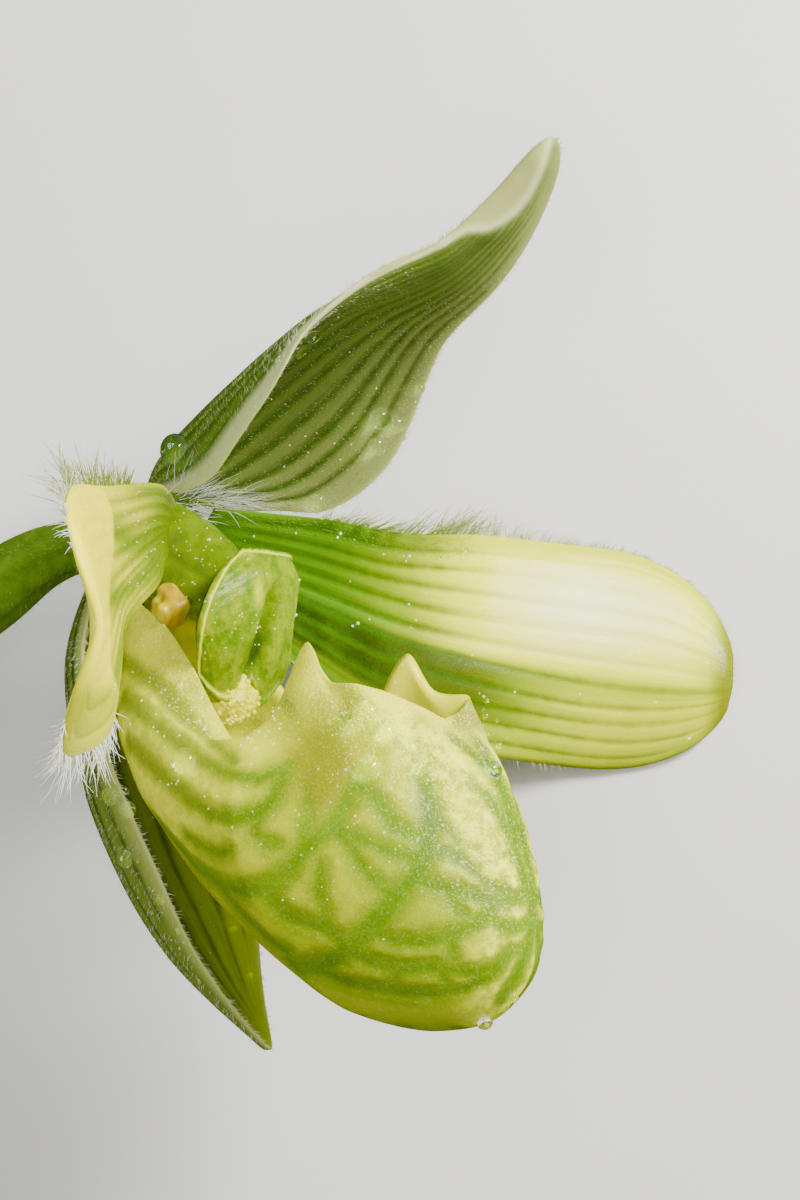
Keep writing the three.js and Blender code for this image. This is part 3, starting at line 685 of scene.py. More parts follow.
def far_paint(v, t, side, p):
    # Painted highlight: gleam whitens the far petal's distal face on its upper half, whitest near t 0.74; low_gleam
    # adds a paler band low on the distal half.
    snow = 0.80 + 0.20 * bell(t - 0.74, 0.22, v + 0.50, 0.45)
    start = 0.42 + 0.05 * np.sin(3 * v + 0.5) + 0.05 * smooth(-0.6, -1, v)
    # Painted shade: furrow darkens the band below the far petal's rib, where its trough lies in shade, and dims the
    # pale there.
    furrow = smooth(0.00, 0.16, v) * smooth(0.86, 0.60, v)
    streak = 0.22 * smooth(0.60, 0.68, v) * smooth(0.82, 0.70, v) * smooth(0.1, 0.2, t)
    gleam = snow * smooth(start - 0.04, 0.58, t) * smooth(0.16, -0.06, v) * smooth(1.0, 0.92, t)
    gleam = gleam * (1 - 0.5 * smooth(-0.80, -0.95, v))
    low_gleam = 0.42 * smooth(0.60, 0.84, t) * smooth(0.12, 0.3, v) * smooth(1.0, 0.6, v)
    notch = (0.5 + 0.5 * np.sin(95 * t + 4 * np.sin(23 * t))) * smooth(-0.78, -0.95, v) * smooth(0.62, 0.5, t) * smooth(0.1, 0.2, t)
    margin = smooth(0.93, 0.985, abs(v)) * smooth(0.35, 0.6, t) * smooth(0.0, 0.5, v + 0.4 * smooth(0.7, 0.9, t))
    # Deep: the furrow's painted shade, a painted shadow of the column and staminode at the base, and dark notches along
    # the upper margin.
    return dict(Pale=smooth(start - 0.18, start + 0.10, t) * (1 - 0.85 * furrow * smooth(0.85, 0.5, t)) + streak,
                Milk=gleam + low_gleam,
                Bold=0.95 - 0.75 * smooth(0.40, 0.62, t) * smooth(0.3, -0.2, v) - 0.25 * smooth(0.7, 1, t),
                Deep=np.clip(1.5 * furrow * smooth(0.74, 0.46, t) + 0.6 * smooth(0.10, 0.0, t) + 0.7 * notch, 0, 1),
                Rim=np.maximum(margin, smooth(0.955, 0.990, t)) * 0.9)

STRIP = [(103, 485), (105, 491), (113, 512), (114, 548), (109, 595), (111, 642), (111, 668), (118, 690), (123, 709),
         (134, 770)]


def near_paint(v, t, side, p):
    x, y = seen(p)
    ends = np.array(STRIP, float)
    left = np.interp(y, ends[:, 1], ends[:, 0]) - x
    strip = smooth(-1.2, 1.2, left) * smooth(0.5, 0.56, t) * (side > 0) * (1 - 0.78 * smooth(660, 700, y))
    back = (side < 0) * smooth(0.4, 0.8, t)
    patch = (0.5 + 0.5 * np.sin(9 * v + 2.2 * np.sin(6 * t))) * smooth(0.15, 0.4, t)
    patch = patch * (1 - 0.75 * smooth(664, 700, y)) * (1 - strip)
    margin = np.maximum(smooth(0.93, 0.985, abs(v)), smooth(0.965, 0.992, t)) * (0.35 + 0.5 * smooth(-0.6, -0.9, v))
    fold = 0.25 * bell(left, 2.5) * smooth(0.5, 0.6, t)
    # The whitening mark: the strip whiter towards one side, and the pale patches faintly, partly their own cream and
    # partly painted light.
    return dict(Pale=np.clip(np.maximum(strip, back) + 0.5 * patch, 0, 1),
                Milk=strip * smooth(0.5, -0.6, v) * 0.6 + 0.25 * patch, Bold=0.75 * (1 - strip) - 0.3 * back,
                Deep=np.clip(smooth(0.14, 0.0, t) * 0.8 + 0.45 * smooth(0.80, 1.0, abs(v)) * smooth(664, 700, y), 0, 1),
                Rim=smooth(700, 672, y) * np.clip(margin + fold, 0, 1))

def dorsal_relief(t, v, sign):
    """Sunken nerves, and a crease that runs up to the tip."""
    fold = pleat(DORSAL_SEPAL, NERVES["dorsal"], 0.16)(t, v, sign) * smooth(0.86, 0.62, t)
    left = beside(CREASE, *seen(laid(blade_at(DORSAL_SEPAL, t, v))))
    return fold + smooth(0.70, 0.80, t) * smooth(1.0, 0.96, t) * 0.7 * np.exp(-np.hypot(left, 5) / 15)

def shield_edge(t, v):
    """Millimetres in from the staminode's edge."""
    return np.minimum((1 - abs(v)) * half_width(STAMINODE, t, v), np.minimum(t, 1 - t) * 10.5)


def shield_relief(t, v, sign):
    """A raised rim and a furrow down the middle."""
    d = shield_edge(t, v)
    rim = 0.20 * smooth(0.62, 0.45, d) * (sign > 0)
    furrow = -0.95 * bell(v - 0.06, 0.13) * smooth(0.18, 0.5, t) * smooth(1.05, 0.8, t)
    swell = 0.35 * bell(abs(v) - 0.45, 0.28) * smooth(0.05, 0.3, t)
    pits = 0.05 * np.sin(41 * v + 3 * np.sin(9 * t)) * np.sin(47 * t) * (sign > 0)
    return rim + furrow + swell + pits


def nerved(name, shape, across, along, finishes, node, nerves, paint, relief=None):
    """A sepal or petal with its nerves and its paint."""
    piece = blade_skin(name, shape, grains(across), grains(along), finishes, node,
                       relief or pleat(shape, NERVES[nerves], 0.12))
    v, t = blade_v(read(piece, "U")), blade_t(shape, read(piece, "T"))
    mark(piece, Nerve=nerve_gap(shape, t, v, NERVES[nerves]), **paint(v, t, read(piece, "Side"), points(piece)))
    return piece

dorsal = nerved("dorsal_sepal_skin", DORSAL_SEPAL, 136, 170, [sepal_front, sepal_back], "dorsal_sepal",
                "dorsal", dorsal_paint, dorsal_relief)
lower = nerved("lower_sepal_skin", SYNSEPAL, 104, 130, [lower_front, lower_back], "synsepal",
               "lower", lower_paint)
left = nerved("petal_left_skin", PETAL_LEFT, 108, 160, [petal_face, petal_back], "petal_left",
              "petal", far_paint)
right = nerved("petal_right_skin", PETAL_RIGHT, 100, 150, [near_face, petal_back], "petal_right",
               "petal", near_paint)
shield = blade_skin("staminode_skin", STAMINODE, grains(96), grains(90), [staminode_finish], "staminode",
                    shield_relief, edge=0.5)
su, st = blade_v(read(shield, "U")), blade_t(STAMINODE, read(shield, "T"))
sx, sy = seen(points(shield))
# Painted highlight: a pale line along the raised rim on one side and a pale streak high in the middle, both through
# Rim. Painted shade: Deep darkens the middle furrow and the groove low in it.
bright_edge = bell(shield_edge(st, su) - 0.42, 0.10) * smooth(-0.2, 0.2, su + 0.5 * smooth(0.3, 0.1, st))
mark(shield, Rim=np.clip(bright_edge + 0.55 * bell(sx - 259, 4.5, sy - 592, 15), 0, 1) * (read(shield, "Side") > 0),
     Deep=np.clip(bell(su - 0.06, 0.10) * smooth(0.35, 0.65, st) * 0.6 + bell(sx - 254 + (sy - 650) * 0.3, 7, sy - 650, 17),
                  0, 1))

def pouch_sheet(sign):
    def place(q, r):
        r = r ** 1.15
        p, n = pouch_at(q, r), pouch_face(q, r)
        p = p - n * 0.05
        wall_ = 0.85 * rounded(r / 0.03) * (0.8 + 0.2 * np.minimum(r / 0.2, 1))
        return p if sign > 0 else p - n * wall_[:, None]
    return place

pouch = skin("pouch_skin", grains(300), grains(180), pouch_sheet(1), pouch_sheet(-1), [pouch_outside, pouch_inside],
             ("pouch",), inner=grains(70))

# Veins of the net, each as its half width in millimetres and the places it passes on the near flank, in units of
# a drawing of the net. The far flank mirrors them.
NET = [
    (0.62, [(1085, 400), (1110, 500), (1125, 620), (1130, 740), (1115, 860), (1070, 940), (1010, 1010), (950, 1085),
            (880, 1160), (810, 1220), (730, 1255), (650, 1250)]),
    (0.50, [(870, 610), (840, 690), (790, 770), (730, 820), (685, 865), (645, 920), (600, 962), (540, 988), (460, 990),
            (390, 960), (320, 905), (255, 830), (200, 760), (150, 690)]),
    (0.48, [(90, 480), (165, 560), (245, 630), (300, 680), (370, 725), (450, 745), (520, 735), (580, 690), (615, 620),
            (650, 545)]),
    (0.46, [(75, 330), (150, 385), (230, 450), (320, 530), (430, 590), (540, 605), (625, 575)]),
    (0.42, [(45, 190), (130, 240), (210, 305), (290, 400), (380, 475), (470, 560)]),
    (0.34, [(600, 962), (575, 1020), (640, 1080), (705, 1100), (760, 1118), (805, 1150), (840, 1200)]),
    (0.26, [(752, 900), (742, 990), (762, 1060), (762, 1116)]),
    (0.30, [(795, 775), (850, 830), (900, 920), (955, 980), (1010, 1010)]),
    (0.28, [(820, 775), (900, 820), (985, 852), (1060, 878), (1110, 865)]),
    (0.36, [(880, 625), (950, 690), (1010, 775), (1080, 800), (1122, 790)]),
    (0.34, [(1110, 960), (1210, 980), (1330, 1020), (1400, 1022), (1480, 1000)]),
    (0.34, [(930, 1130), (1000, 1160), (1100, 1166), (1200, 1142), (1280, 1108), (1335, 1065), (1340, 1020)]),
    (0.34, [(860, 1195), (930, 1238), (1030, 1258), (1150, 1250), (1250, 1272), (1350, 1252), (1405, 1200), (1480, 1175)]),
    (0.30, [(740, 1262), (850, 1308), (1000, 1335), (1130, 1345), (1250, 1322), (1335, 1285), (1370, 1245)]),
    (0.26, [(1340, 1090), (1385, 1122), (1440, 1115), (1485, 1085)]),
    (0.26, [(1120, 880), (1180, 850), (1260, 900), (1330, 960), (1400, 1000)]),
    (0.24, [(1195, 1150), (1205, 1235)]),
    (0.26, [(1160, 560), (1240, 622), (1318, 665), (1372, 738), (1402, 815), (1405, 893)]),
    (0.22, [(1130, 700), (1170, 760), (1240, 820), (1330, 850), (1400, 870)]),
    (0.22, [(290, 800), (345, 838), (400, 866), (440, 850)]),
    (0.22, [(540, 735), (520, 790), (560, 830), (600, 835)]),
    (0.26, [(700, 600), (712, 690), (700, 770), (690, 862)]),
    (0.24, [(1190, 985), (1215, 1040), (1250, 1075)]),
    (0.24, [(1010, 1262), (990, 1334)]),
    (0.24, [(1160, 1252), (1190, 1335)]),
    (0.34, [(400, 965), (470, 1060), (560, 1150), (650, 1215)]),
    (0.40, [(1290, 480), (1360, 600), (1415, 720), (1455, 840), (1478, 960), (1480, 1080), (1462, 1190), (1420, 1290),
            (1360, 1385)]),
]
NET_CORNER, NET_SCALE = (100, 600), 3.409     # where the drawing lies in the frame, and its units for one of the frame's
# GLEAM: the line of the pouch's painted highlight streak, in the drawing's units.
GLEAM = [(985, 330), (1110, 480), (1200, 620), (1300, 800), (1370, 920)]

def traced(places):
    """Places in the drawing of the net, set down on the pouch, as points of its near flank."""
    out = []
    for (x0, y0), (x1, y1) in zip(places, places[1:]):
        for k in range(6):
            x, y = x0 + (x1 - x0) * k / 6, y0 + (y1 - y0) * k / 6
            way = sight(NET_CORNER[0] + x / NET_SCALE, NET_CORNER[1] + y / NET_SCALE)
            hit = pouch_tree.ray_cast(Vector(EYE * MM), way)[0]
            if hit:
                p = lifted(hit)
                out.append((abs(p[0]), p[1], p[2]))
    return out

def net_gap(p, veins, batch=20000, break_at=4):
    """Millimetres from the nearest vein's edge, negative on it, and from the nearest vein's middle."""
    gap, far = np.full(len(p), 9.0), np.full(len(p), 99.0)
    for wide, path in veins:
        path = np.array(path)
        for s in range(0, len(p), batch):
            some = p[s:s + batch]
            near = np.full(len(some), 99.0)
            for c, d in zip(path, path[1:]):
                if np.linalg.norm(d - c) > break_at:
                    continue
                k = np.clip(((some - c) @ (d - c)) / max(((d - c) ** 2).sum(), 1e-6), 0, 1)
                near = np.minimum(near, np.linalg.norm(some - c - k[:, None] * (d - c), axis=1))
            gap[s:s + batch] = np.minimum(gap[s:s + batch], near - wide)
            far[s:s + batch] = np.minimum(far[s:s + batch], near)
    return gap, far

pouch_tree = wall(pouch)
near_flank = lifted(points(pouch))
near_flank[:, 0] = abs(near_flank[:, 0])
veins = [(wide, traced(path)) for wide, path in NET]
gap, far = net_gap(near_flank, [vein for vein in veins if len(vein[1]) > 2])
# cheek: millimetres from the line of the painted highlight.
cheek = np.full(len(near_flank), 9.0)
for place in traced(GLEAM)[::2]:
    cheek = np.minimum(cheek, np.linalg.norm(near_flank - place, axis=1))
lip, front = read(pouch, "T"), near_flank[:, 1]
bold = np.clip(1 - 0.75 * smooth(0.18, 0.0, lip) * smooth(12, 18, front), 0, 1)
sink = -0.13 * bell(np.maximum(gap, 0), 0.45) * bold + 0.10 * smooth(0.8, 2.6, gap)
sink = sink * (read(pouch, "Side") > 0) * smooth(0.03, 0.10, lip)
moved = points(pouch) + points(pouch, "normal") * (sink * MM)[:, None]
moved[:, 2] = np.maximum(moved[:, 2], 0)
pouch.data.vertices.foreach_set("co", moved.ravel())
pouch.data.update()
px, py = seen(points(pouch))

def spot(x, y, w, h):
    """A soft patch on the pouch, at a place in the frame."""
    return bell(px - x, w, py - y, h)

away = smooth(446, 456, px) * smooth(740, 722, py)
# Painted light: the heel is made paler and creamier, lifting it out of the near petal's shade.
heel = smooth(285, 170, px) * smooth(890, 760, py)
# Painted highlight: the bright streak across the pouch, whitening the cells and fading the veins.
streak = smooth(2.4, 0.6, cheek)
olive = np.clip(1.4 * spot(322, 764, 34, 48), 0, 1)
# Painted light: the cells paler towards the lit right-hand end of the pouch.
toe = 0.8 * smooth(445, 505, px) * smooth(800, 900, py)
# Painted shade: the cells darker on the pouch's underside.
sole = smooth(-15, -23, near_flank[:, 2]) * 0.8 * (1 - 0.7 * smooth(430, 500, px))
band = smooth(0.11, 0.02, lip) * smooth(10, 17, front) * (1 - 0.9 * away)
patches = 0.45 * spot(246, 745, 42, 28) + 0.9 * spot(308, 672, 13, 30) + 0.7 * spot(146, 642, 26, 24)
# Painted glints: white flecks along the lip, along and around the streak, and in a spot on the heel's inner rim.
sandy = smooth(0.16, 0.04, lip) * 0.8 + streak + 0.35 * smooth(7, 3, cheek) + 0.8 * spot(205, 705, 30, 26)
milky = 0.9 * smooth(3.4, 0.9, cheek) + 0.22 * smooth(6, 3, cheek) + 0.95 * heel + toe
# Bold fades the veins under the painted highlight and on the heel; Low is painted shade on the sole, and also darkens
# the corner past the far horn and one low patch.
mark(pouch, Net=gap, Wild=smooth(2.5, 5.0, far), Hot=streak, Sugar=np.clip(sandy + 0.12, 0, 1),
     Bold=bold * (1 - 0.75 * streak) * (1 - 0.5 * away) * (1 - 0.35 * olive) * (1 - 0.4 * heel),
     Milk=np.clip(milky, 0, 1) * (1 - away) * (1 - olive),
     Rim=smooth(0.20, 0.08, lip) * smooth(12, 17, front) * (1 - 0.8 * away),
     Low=np.clip(sole + away + 0.7 * spot(426, 908, 36, 30), 0, 1),
     Cream=np.clip(band + patches + 0.42 * heel, 0, 1), Flush=np.clip(olive + 0.8 * away, 0, 1))

# ---- column, stigma, anthers and stem ----
OVARY_RUN = [[0, -3.2, 0.5], [0, -7.7, -1.1], [0, -11.5, -3.4], [0, -15.2, -7.2], [0, -20, -12.5], [0, -24.6, -18.2]]
OVARY_R = [2.4, 2.0, 2.3, 2.8, 2.9, 2.3]


def hung(x, y, z):
    """A place measured from MIDDLE, in the flower's own millimetres."""
    return own((x + MIDDLE[0], y + MIDDLE[1], z + MIDDLE[2]))

SCAPE_RUN = [[0, -25.4, -19.2], hung(-48.4, -12.0, -19.15), hung(-51.6, -20, -19.45), hung(-52.7, -31, -19.9),
             hung(-52.4, -45, -20.6), hung(-52, -60, -20.8)]
SCAPE_R = [1.9] * 6
COLUMN_RUN = [[0, -2.2, 1.4], [0, 1.2, 1.0], [0, 5, 0.2], [0, 9.0, -0.8]]
STIGMA_RUN = [[0, 5.4, -2.6], [0, 7.2, -5.2], [0, 8.8, -7.8], [0, 9.8, -9.8]]

column = stalk_skin("column_skin", COLUMN_RUN, [3.1, 3.1, 2.6, 1.9], 64, 48, column_finish, "column",
                    ends=(0.08, 0.05),
                    relief=lambda q, t: 1.3 * smooth(0.06, 0.20,
                                                     t) * smooth(0.84, 0.62, t) * np.maximum(np.sin(2 * math.pi * q), 0))
stigma = stalk_skin("stigma_skin", STIGMA_RUN, [1.3, 1.8, 3.0, 1.6], 90, 70, stigma_finish, "stigma",
                    flat=0.75, ends=(0.1, 0.2),
                    relief=lambda q, t: 0.16 * np.sin(2 * math.pi * 9 * q + 3 * np.sin(11 * t)) * np.sin(31 * t + 2 * np.sin(12 * q)))
for side, label in ((-1, "left"), (1, "right")):
    stalk_skin("anther_%s_skin" % label, [[side * 1.6, 3.0, -1.2], [side * 2.7, 3.7, -2.7], [side * 3.4, 4.2, -4.2]],
               [0.8, 1.35, 0.8], 48, 40,
               anther_finish, "anther_" + label, ends=(0.2, 0.3),
               relief=lambda q, t: 0.24 * np.sin(2 * math.pi * 2 * q + 1.3) * np.sin(9 * t) + 0.14 * np.sin(2 * math.pi * 5 * q + 7 * t) * np.sin(14 * t + 1))
stalk_skin("ovary_skin", OVARY_RUN, OVARY_R, 96, 110, stem_finish, "ovary", ribs=6, depth=0.06,
           ends=(0.02, 0.03))
stalk_skin("scape_skin", SCAPE_RUN, SCAPE_R, 48, 120, stem_finish, "scape", ends=(0.01, 0.004))


def bract_sheet(sign):
    path = SCAPE_RUN[:3][::-1] + [[0, -22.8, -15.9], [0, -19, -11.4], [0, -15.6, -7.6]]
    radius = [1.92, 1.96, 2.35, 2.9, 3.5, 3.9]
    def place(u, t):
        q = 0.12 + 0.62 * t
        e1, e2, _ = stalk_frame(path, q)
        opening = np.radians(168 * (1 - t ** 2.2) + 5)
        a = (2 * u - 1) * opening
        edge = np.sqrt(np.clip(1 - abs(2 * u - 1) ** 10, 0, 1)) * rounded(t / 0.02) * rounded((1 - t) / 0.02)
        r = run(radius, q) + 0.73 + sign * 0.28 * edge
        return run(path, q) - e2 * (r * np.cos(a))[:, None] + e1 * (r * np.sin(a))[:, None]
    return place


skin("bract_skin", 70, 60, bract_sheet(1), bract_sheet(-1), [bract_finish], ("bract",))

# ---- hairs: thin tapered strands, each rooted in the piece that carries it ----
def strands(name, roots, ways, lengths, bends, thick, finish, knots=4):
    """roots, ways and bends are in the flower's own millimetres; a strand runs along its way and bends towards its end."""
    curve = bpy.data.curves.new(name, "CURVE")
    curve.dimensions, curve.bevel_depth, curve.bevel_resolution, curve.use_fill_caps = "3D", MM, 0, True
    s = np.linspace(0, 1, knots)
    for p, w, n, b, k in zip(roots, ways, lengths, bends, thick):
        line = laid(p + n * (s[:, None] * w + s[:, None] ** 2 * b))
        line[:, 2] = np.maximum(line[:, 2], 0.00006)
        spline = curve.splines.new("POLY")
        spline.points.add(knots - 1)
        spline.points.foreach_set("co", np.hstack([line, np.ones((knots, 1))]).ravel())
        spline.points.foreach_set("radius", k * (1 - 0.8 * s))
    holder = bpy.data.objects.new(name, curve)
    bpy.context.scene.collection.objects.link(holder)
    mesh = bpy.data.meshes.new_from_object(holder.evaluated_get(bpy.context.evaluated_depsgraph_get()))
    bpy.data.objects.remove(holder)
    bm = bmesh.new()
    bm.from_mesh(mesh)
    bmesh.ops.recalc_face_normals(bm, faces=bm.faces)
    return keep(bm, name, [finish])


def edge_hairs(shape, v, t0, t1, count, long, lean, seed):
    """Roots and ways for hairs along one margin, v = 1 or -1, pointing out of the blade."""
    rng = np.random.default_rng(seed)
    T = np.linspace(t0, t1, 500)
    line = blade_at(shape, T, np.full(500, v * 1.0))
    far = np.concatenate([[0], np.cumsum(np.linalg.norm(np.diff(line, axis=0), axis=1))])
    t = np.interp(rng.uniform(0, far[-1], count), far, T)
    vv = np.full(count, v * 0.995)
    e = 0.003
    along = unit(blade_at(shape, np.minimum(t + e, 1), vv) - blade_at(shape, np.maximum(t - e, 0), vv))
    face = blade_face(shape, np.clip(t, 0.01, 0.99), vv * 0.97)
    inside = blade_at(shape, np.clip(t - 0.06, 0, 1), vv * 0.7)
    p = blade_at(shape, t, vv)
    out = unit(np.cross(along, face))
    out = out * np.sign((out * (p - inside)).sum(1))[:, None]
    way = unit(out + along * lean + face * rng.normal(0, 0.35, count)[:, None] + rng.normal(0, 0.16, (count, 3)))
    bend = along * 0.25 + rng.normal(0, 0.16, (count, 3))
    size = np.interp(t, np.linspace(t0, t1, len(long)), long) * rng.uniform(0.45, 1.1, count)
    return p - out * 0.12, way, size, bend


def face_hairs(shape, side, count, size, seed, v0=-0.97, v1=0.97, t1=0.99):
    """Short hairs all over one face of a blade, leaning towards its tip."""
    rng = np.random.default_rng(seed)
    T = np.linspace(0.02, t1, 300)
    wide = run(shape["plus"], T) + run(shape["minus"], T)
    t = np.interp(rng.uniform(0, 1, count), np.cumsum(wide) / wide.sum(), T)
    v = rng.uniform(v0, v1, count)
    face = blade_face(shape, t, v) * side
    along = unit(blade_at(shape, np.minimum(t + 0.01, 1), v) - blade_at(shape, t - 0.01, v))
    way = unit(face + along * 0.55 + rng.normal(0, 0.22, (count, 3)))
    p = blade_at(shape, t, v) + face * shape["thick"] * 0.28
    return p, way, rng.uniform(0.6, 1.15, count) * size, along * 0.35 + rng.normal(0, 0.12, (count, 3))


def comb(name, groups, finish, knots=4):
    """Several lots of hairs as one piece, each lot with its own thickness."""
    roots, ways, sizes, bends = (np.concatenate([lot[k] for lot, _ in groups]) for k in range(4))
    thick = np.concatenate([np.full(len(lot[0]), r) for lot, r in groups])
    strands(name, roots, ways, sizes, bends, thick, finish, knots)

comb("dorsal_sepal_down", [
    (face_hairs(DORSAL_SEPAL, 1, few(3400), 0.13, 21), 0.013),
    (face_hairs(DORSAL_SEPAL, -1, few(2000), 0.20, 22), 0.015)], hair_white, 3)
comb("dorsal_sepal_hairs", [
    (edge_hairs(DORSAL_SEPAL, 1, 0.10, 1.0, few(760), [0.5, 0.55, 0.5, 0.45], 0.4, 23), 0.024),
    (edge_hairs(DORSAL_SEPAL, -1, 0.60, 1.0, few(300), [0.4, 0.5, 0.45], 0.4, 24), 0.024),
    (edge_hairs(DORSAL_SEPAL, -1, 0.06, 0.60, few(200), [0.3, 0.3, 0.3], 0.4, 25), 0.018)], hair_pale, 4)
comb("dorsal_sepal_fuzz", [
    (face_hairs(DORSAL_SEPAL, -1, few(1300), 0.42, 26, 0.55, 0.99), 0.020),
    (face_hairs(DORSAL_SEPAL, 1, few(500), 0.40, 27, 0.86, 0.99), 0.018),
    (face_hairs(DORSAL_SEPAL, -1, few(900), 0.42, 28, -0.99, -0.45), 0.020)], hair_pale, 4)
comb("lower_sepal_hairs", [
    (face_hairs(SYNSEPAL, -1, few(2400), 0.32, 31), 0.018),
    (edge_hairs(SYNSEPAL, 1, 0.1, 1.0, few(300), [0.6, 0.6, 0.5], 0.4, 32), 0.028),
    (edge_hairs(SYNSEPAL, -1, 0.1, 1.0, few(200), [0.6, 0.6, 0.5], 0.4, 33), 0.028)], hair_white, 4)
comb("far_petal_hairs_green", [
    (edge_hairs(PETAL_LEFT, -1, 0.16, 0.50, few(170), [1.0, 1.8, 2.3, 2.6, 3.0], 0.9, 41), 0.046),
    (face_hairs(PETAL_LEFT, 1, few(400), 0.18, 42, -0.98, -0.75, 0.5), 0.022)], hair_green, 6)
comb("far_petal_hairs_white", [
    (edge_hairs(PETAL_LEFT, -1, 0.46, 0.62, few(70), [2.4, 2.0, 1.6], 0.35, 43), 0.048),
    (edge_hairs(PETAL_LEFT, -1, 0.60, 1.0, few(230), [1.3, 1.1, 0.8, 0.6, 0.4], 0.3, 44), 0.040),
    (edge_hairs(PETAL_LEFT, 1, 0.42, 1.0, few(200), [0.9, 1.1, 0.9, 0.5, 0.3], 0.3, 45), 0.040)], hair_pale,
     6)
comb("near_petal_hairs_green", [
    (edge_hairs(PETAL_RIGHT, 1, 0.40, 0.90, few(150), [1.2, 2.2, 3.0, 3.2], 0.35, 51), 0.040),
    (face_hairs(PETAL_RIGHT, -1, few(300), 0.25, 52, 0.2, 0.98), 0.022)], hair_green, 7)
comb("near_petal_hairs_white", [
    (edge_hairs(PETAL_RIGHT, 1, 0.80, 0.97, few(90), [2.4, 3.0, 3.2, 1.0], 0.2, 53), 0.042),
    (edge_hairs(PETAL_RIGHT, -1, 0.66, 0.96, few(230), [1.0, 2.4, 3.0, 2.0, 0.7], 0.0, 54), 0.044)], hair_white,
     7)


def stalk_hairs(path, radii, t0, t1, count, size, seed, ribs=0, depth=0.0):
    rng = np.random.default_rng(seed)
    t, a = rng.uniform(t0, t1, count), rng.uniform(0, 2 * math.pi, count)
    e1, e2, along = stalk_frame(path, t)
    out = e1 * np.cos(a)[:, None] + e2 * np.sin(a)[:, None]
    k = run(radii, t) * (1 + depth * np.cos(ribs * a)) - 0.05
    way = unit(out + along * rng.normal(0.1, 0.3, count)[:, None] + rng.normal(0, 0.15, (count, 3)))
    return run(path, t) + out * k[:, None], way, rng.uniform(0.6, 1.2, count) * size, rng.normal(0, 0.15, (count, 3))


comb("stem_hairs", [
    (stalk_hairs(SCAPE_RUN, SCAPE_R, 0.03, 0.99, few(1900), 0.40, 61), 0.022),
    (stalk_hairs(OVARY_RUN, OVARY_R, 0.05, 0.99, few(950), 0.42, 62, 6, 0.06), 0.022)], hair_green, 4)


# ---- things set down along a line of sight, on the piece that is met first ----
walls = [wall(x) for x in (dorsal, lower, left, right, shield, column, stigma, pouch)]


def met(x, y, among=None):
    hits = [w.ray_cast(Vector(EYE * MM), sight(x, y)) for w in (walls if among is None else among)]
    hits = [h for h in hits if h[0]]
    return min(hits, key=lambda h: h[3]) if hits else None


def silk(count, seed, patches):
    """Silky hairs lying over the junction: patch is (x, y, width, height, heading in degrees, length)."""
    rng = np.random.default_rng(seed)
    out = []
    for k in range(count):
        x, y, w, h, turn, size = patches[k % len(patches)]
        hit = met(x + rng.normal(0, w / 2), y + rng.normal(0, h / 2))
        if not hit:
            continue
        a = math.radians(turn + rng.normal(0, 16))
        way = np.array([math.cos(a), math.sin(a), 0.15]) + 0.35 * np.array(hit[1])
        bend = np.array([math.cos(a - 0.5), math.sin(a - 0.5), 0]) * 0.3 + rng.normal(0, 0.12, 3)
        out.append((lifted(hit[0]), TURN @ unit(way), size * rng.uniform(0.4, 1.15), TURN @ bend))
    return [np.array([o[k] for o in out]) for k in range(4)]


comb("junction_hairs", [
    (silk(few(190), 71, [(188, 486, 26, 10, 52, 1.9), (206, 494, 30, 8, 32, 2.2), (225, 503, 34, 7, 12, 2.2),
                         (205, 508, 26, 8, -18, 1.8)]), 0.026)],
     hair_white, 6)


def beads(name, places, finish, among=None, flat=0.8, sink=0.2):
    """Drops: (x, y, radius) in frame units, each pressed flat on the surface that it lies on."""
    bm = bmesh.new()
    for x, y, r in places:
        hit = met(x, y, among)
        if not hit:
            continue
        depth = REACH - (hit[0].z / MM - MIDDLE[2])
        size = r * UNIT * depth / REACH * MM
        lean = Vector(hit[1])
        if lean.dot(sight(x, y)) > 0:
            lean = -lean
        made = bmesh.ops.create_icosphere(bm, subdivisions=3 if r > 3 else 1, radius=size)["verts"]
        bmesh.ops.scale(bm, vec=(1, 1, flat), verts=made)
        bmesh.ops.rotate(bm, cent=(0, 0, 0), matrix=lean.to_track_quat("Z", "Y").to_matrix(), verts=made)
        bmesh.ops.translate(bm, vec=hit[0] + lean * size * flat * (1 - 2 * sink), verts=made)
    bmesh.ops.recalc_face_normals(bm, faces=bm.faces)
    keep(bm, name, [finish]).visible_shadow = False

dew = random.Random(81)
DROPS = [(379, 415, 12), (396, 422, 9), (377, 444, 10), (317, 501, 10), (420, 387, 5), (180, 451, 16), (311, 334, 8),
         (298, 348, 8),
         (368, 714, 14), (386, 732, 9), (370, 769, 13), (418, 769, 6), (411, 747, 5), (188, 764, 14), (490, 772, 10),
         (484, 1020, 8), (512, 996, 6),
         (129, 811, 9), (123, 792, 5), (113, 796, 10), (162, 899, 6), (162, 879, 4), (128, 858, 10), (179, 931, 4),
         (233, 931, 5), (251, 978, 5)]
DROPS += [(dew.uniform(474, 500), 700 + k * 7 + dew.uniform(-3, 3), dew.uniform(1.5, 4)) for k in range(12)]
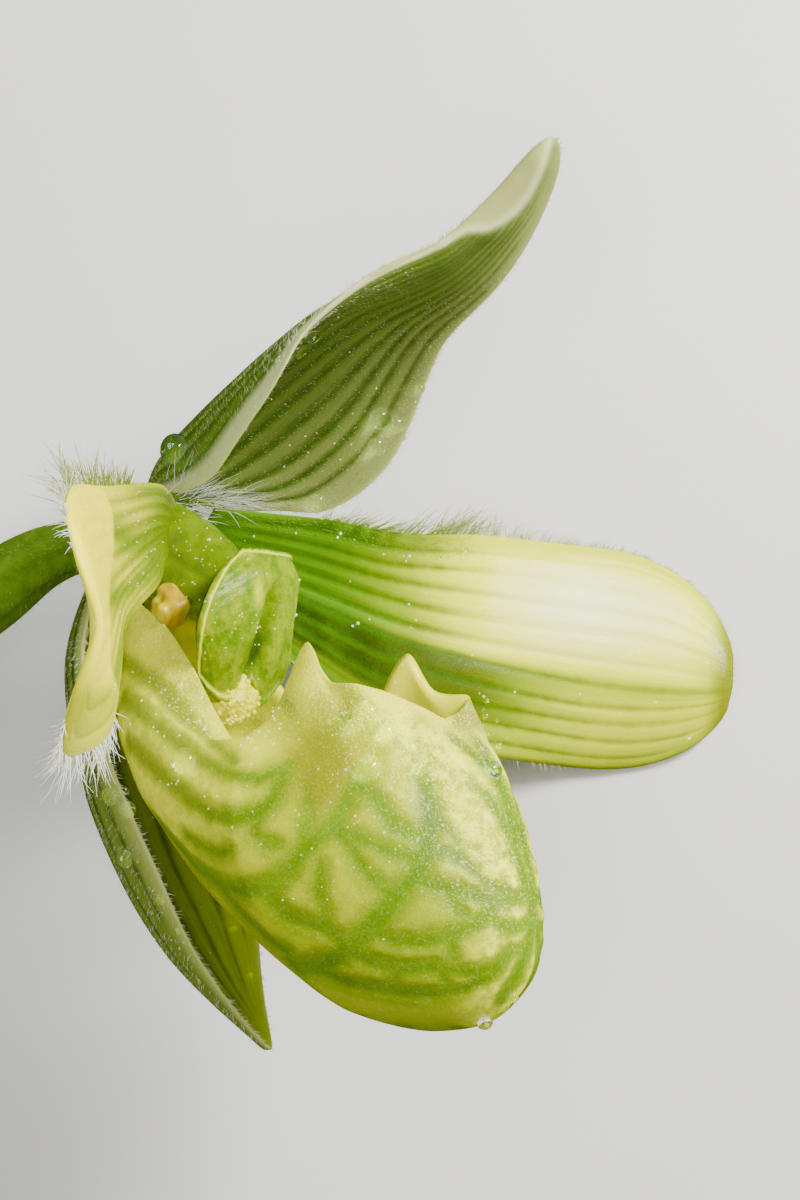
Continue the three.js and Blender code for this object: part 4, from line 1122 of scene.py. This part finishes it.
# SPARKLES: places for white beads that paint glints.
SPARKLES = [(dew.gauss(x, w), dew.gauss(y, h), dew.uniform(a, b)) for x, y, w, h, n, a, b in (
    (140, 560, 14, 40, 44, 0.5, 1.1), (190, 545, 18, 20, 26, 0.5, 1.1), (235, 620, 22, 38, 44, 0.5, 1.2),
    (380, 590, 90, 40, 26, 0.8, 2.2), (560, 680, 90, 40, 16, 0.8, 2.0),
    (420, 770, 45, 45, 70, 0.7, 1.7), (330, 800, 60, 70, 50, 0.6, 1.3), (175, 690, 26, 45, 60, 0.6, 1.4),
    (340, 430, 60, 60, 40, 0.6, 1.2), (180, 900, 30, 60, 26, 0.6, 1.3)) for _ in range(n)]
beads("water_drops", DROPS, water)
# Sparkles and stigma glints: white beads that paint glints.
beads("dew", SPARKLES, dew_finish)
beads("stigma_glints", [(dew.gauss(256, 16), dew.gauss(728, 12), dew.uniform(0.7, 1.5)) for _ in range(46)], dew_finish)
papillae = [(dew.gauss(238, 24), dew.gauss(716, 20), dew.uniform(1.6, 3.2)) for _ in range(170)]
beads("stigma_papillae", papillae, stigma_finish, among=walls[6:7])

# ---- ground, light and camera ----
paper = Finish("pale_paper", Roughness=0.9)
paper.color(paper.mix(paper.noise(40, 3), (0.69, 0.69, 0.68), (0.73, 0.73, 0.72)))
bm = bmesh.new()
bmesh.ops.create_grid(bm, x_segments=1, y_segments=1, size=1.2)
ground = set_down(bm, "ground", [paper.material])
ground.visible_glossy = False

world = bpy.data.worlds.new("studio")
bpy.context.scene.world = world
world.use_nodes = True
sky = world.node_tree.nodes["Background"]
sky.inputs["Color"].default_value = (1.0, 0.98, 0.93, 1)
sky.inputs["Strength"].default_value = 0.22
world.cycles_visibility.glossy = False


def lamp(name, place, aim, size, watts, tint=(1, 1, 1), shine=True):
    light = bpy.data.lights.new(name, "AREA")
    light.shape, light.size, light.size_y, light.energy, light.color = "ELLIPSE", size[0], size[1], watts, tint
    thing = bpy.data.objects.new(name, light)
    bpy.context.scene.collection.objects.link(thing)
    thing.location = place
    thing.visible_glossy = shine
    thing.rotation_euler = (Vector(aim) - Vector(place)).to_track_quat("-Z", "Y").to_euler()


lamp("key", (0.165, 0.150, 0.19), (0.005, 0.0, 0.03), (0.055, 0.13), 1.85, (1, 0.98, 0.93))
lamp("front", (-0.03, -0.02, 0.33), (0, 0, 0.02), (0.16, 0.16), 0.55, (1, 0.99, 0.95), shine=False)
lamp("fill", (-0.24, 0.08, 0.20), (0, 0, 0.02), (0.24, 0.24), 0.32, shine=False)
lamp("glow", (0.24, 0.03, 0.10), (0.02, 0.0, 0.025), (0.10, 0.10), 0.30, (1, 0.98, 0.90), shine=False)

camera = bpy.data.objects.new("camera", bpy.data.cameras.new("camera"))
bpy.context.scene.collection.objects.link(camera)
camera.location = EYE * MM
SENSOR = 36
camera.data.sensor_width, camera.data.lens = SENSOR, SENSOR * REACH / (FRAME[1] * UNIT)
camera.data.clip_start = 0.01
bpy.context.scene.camera = camera
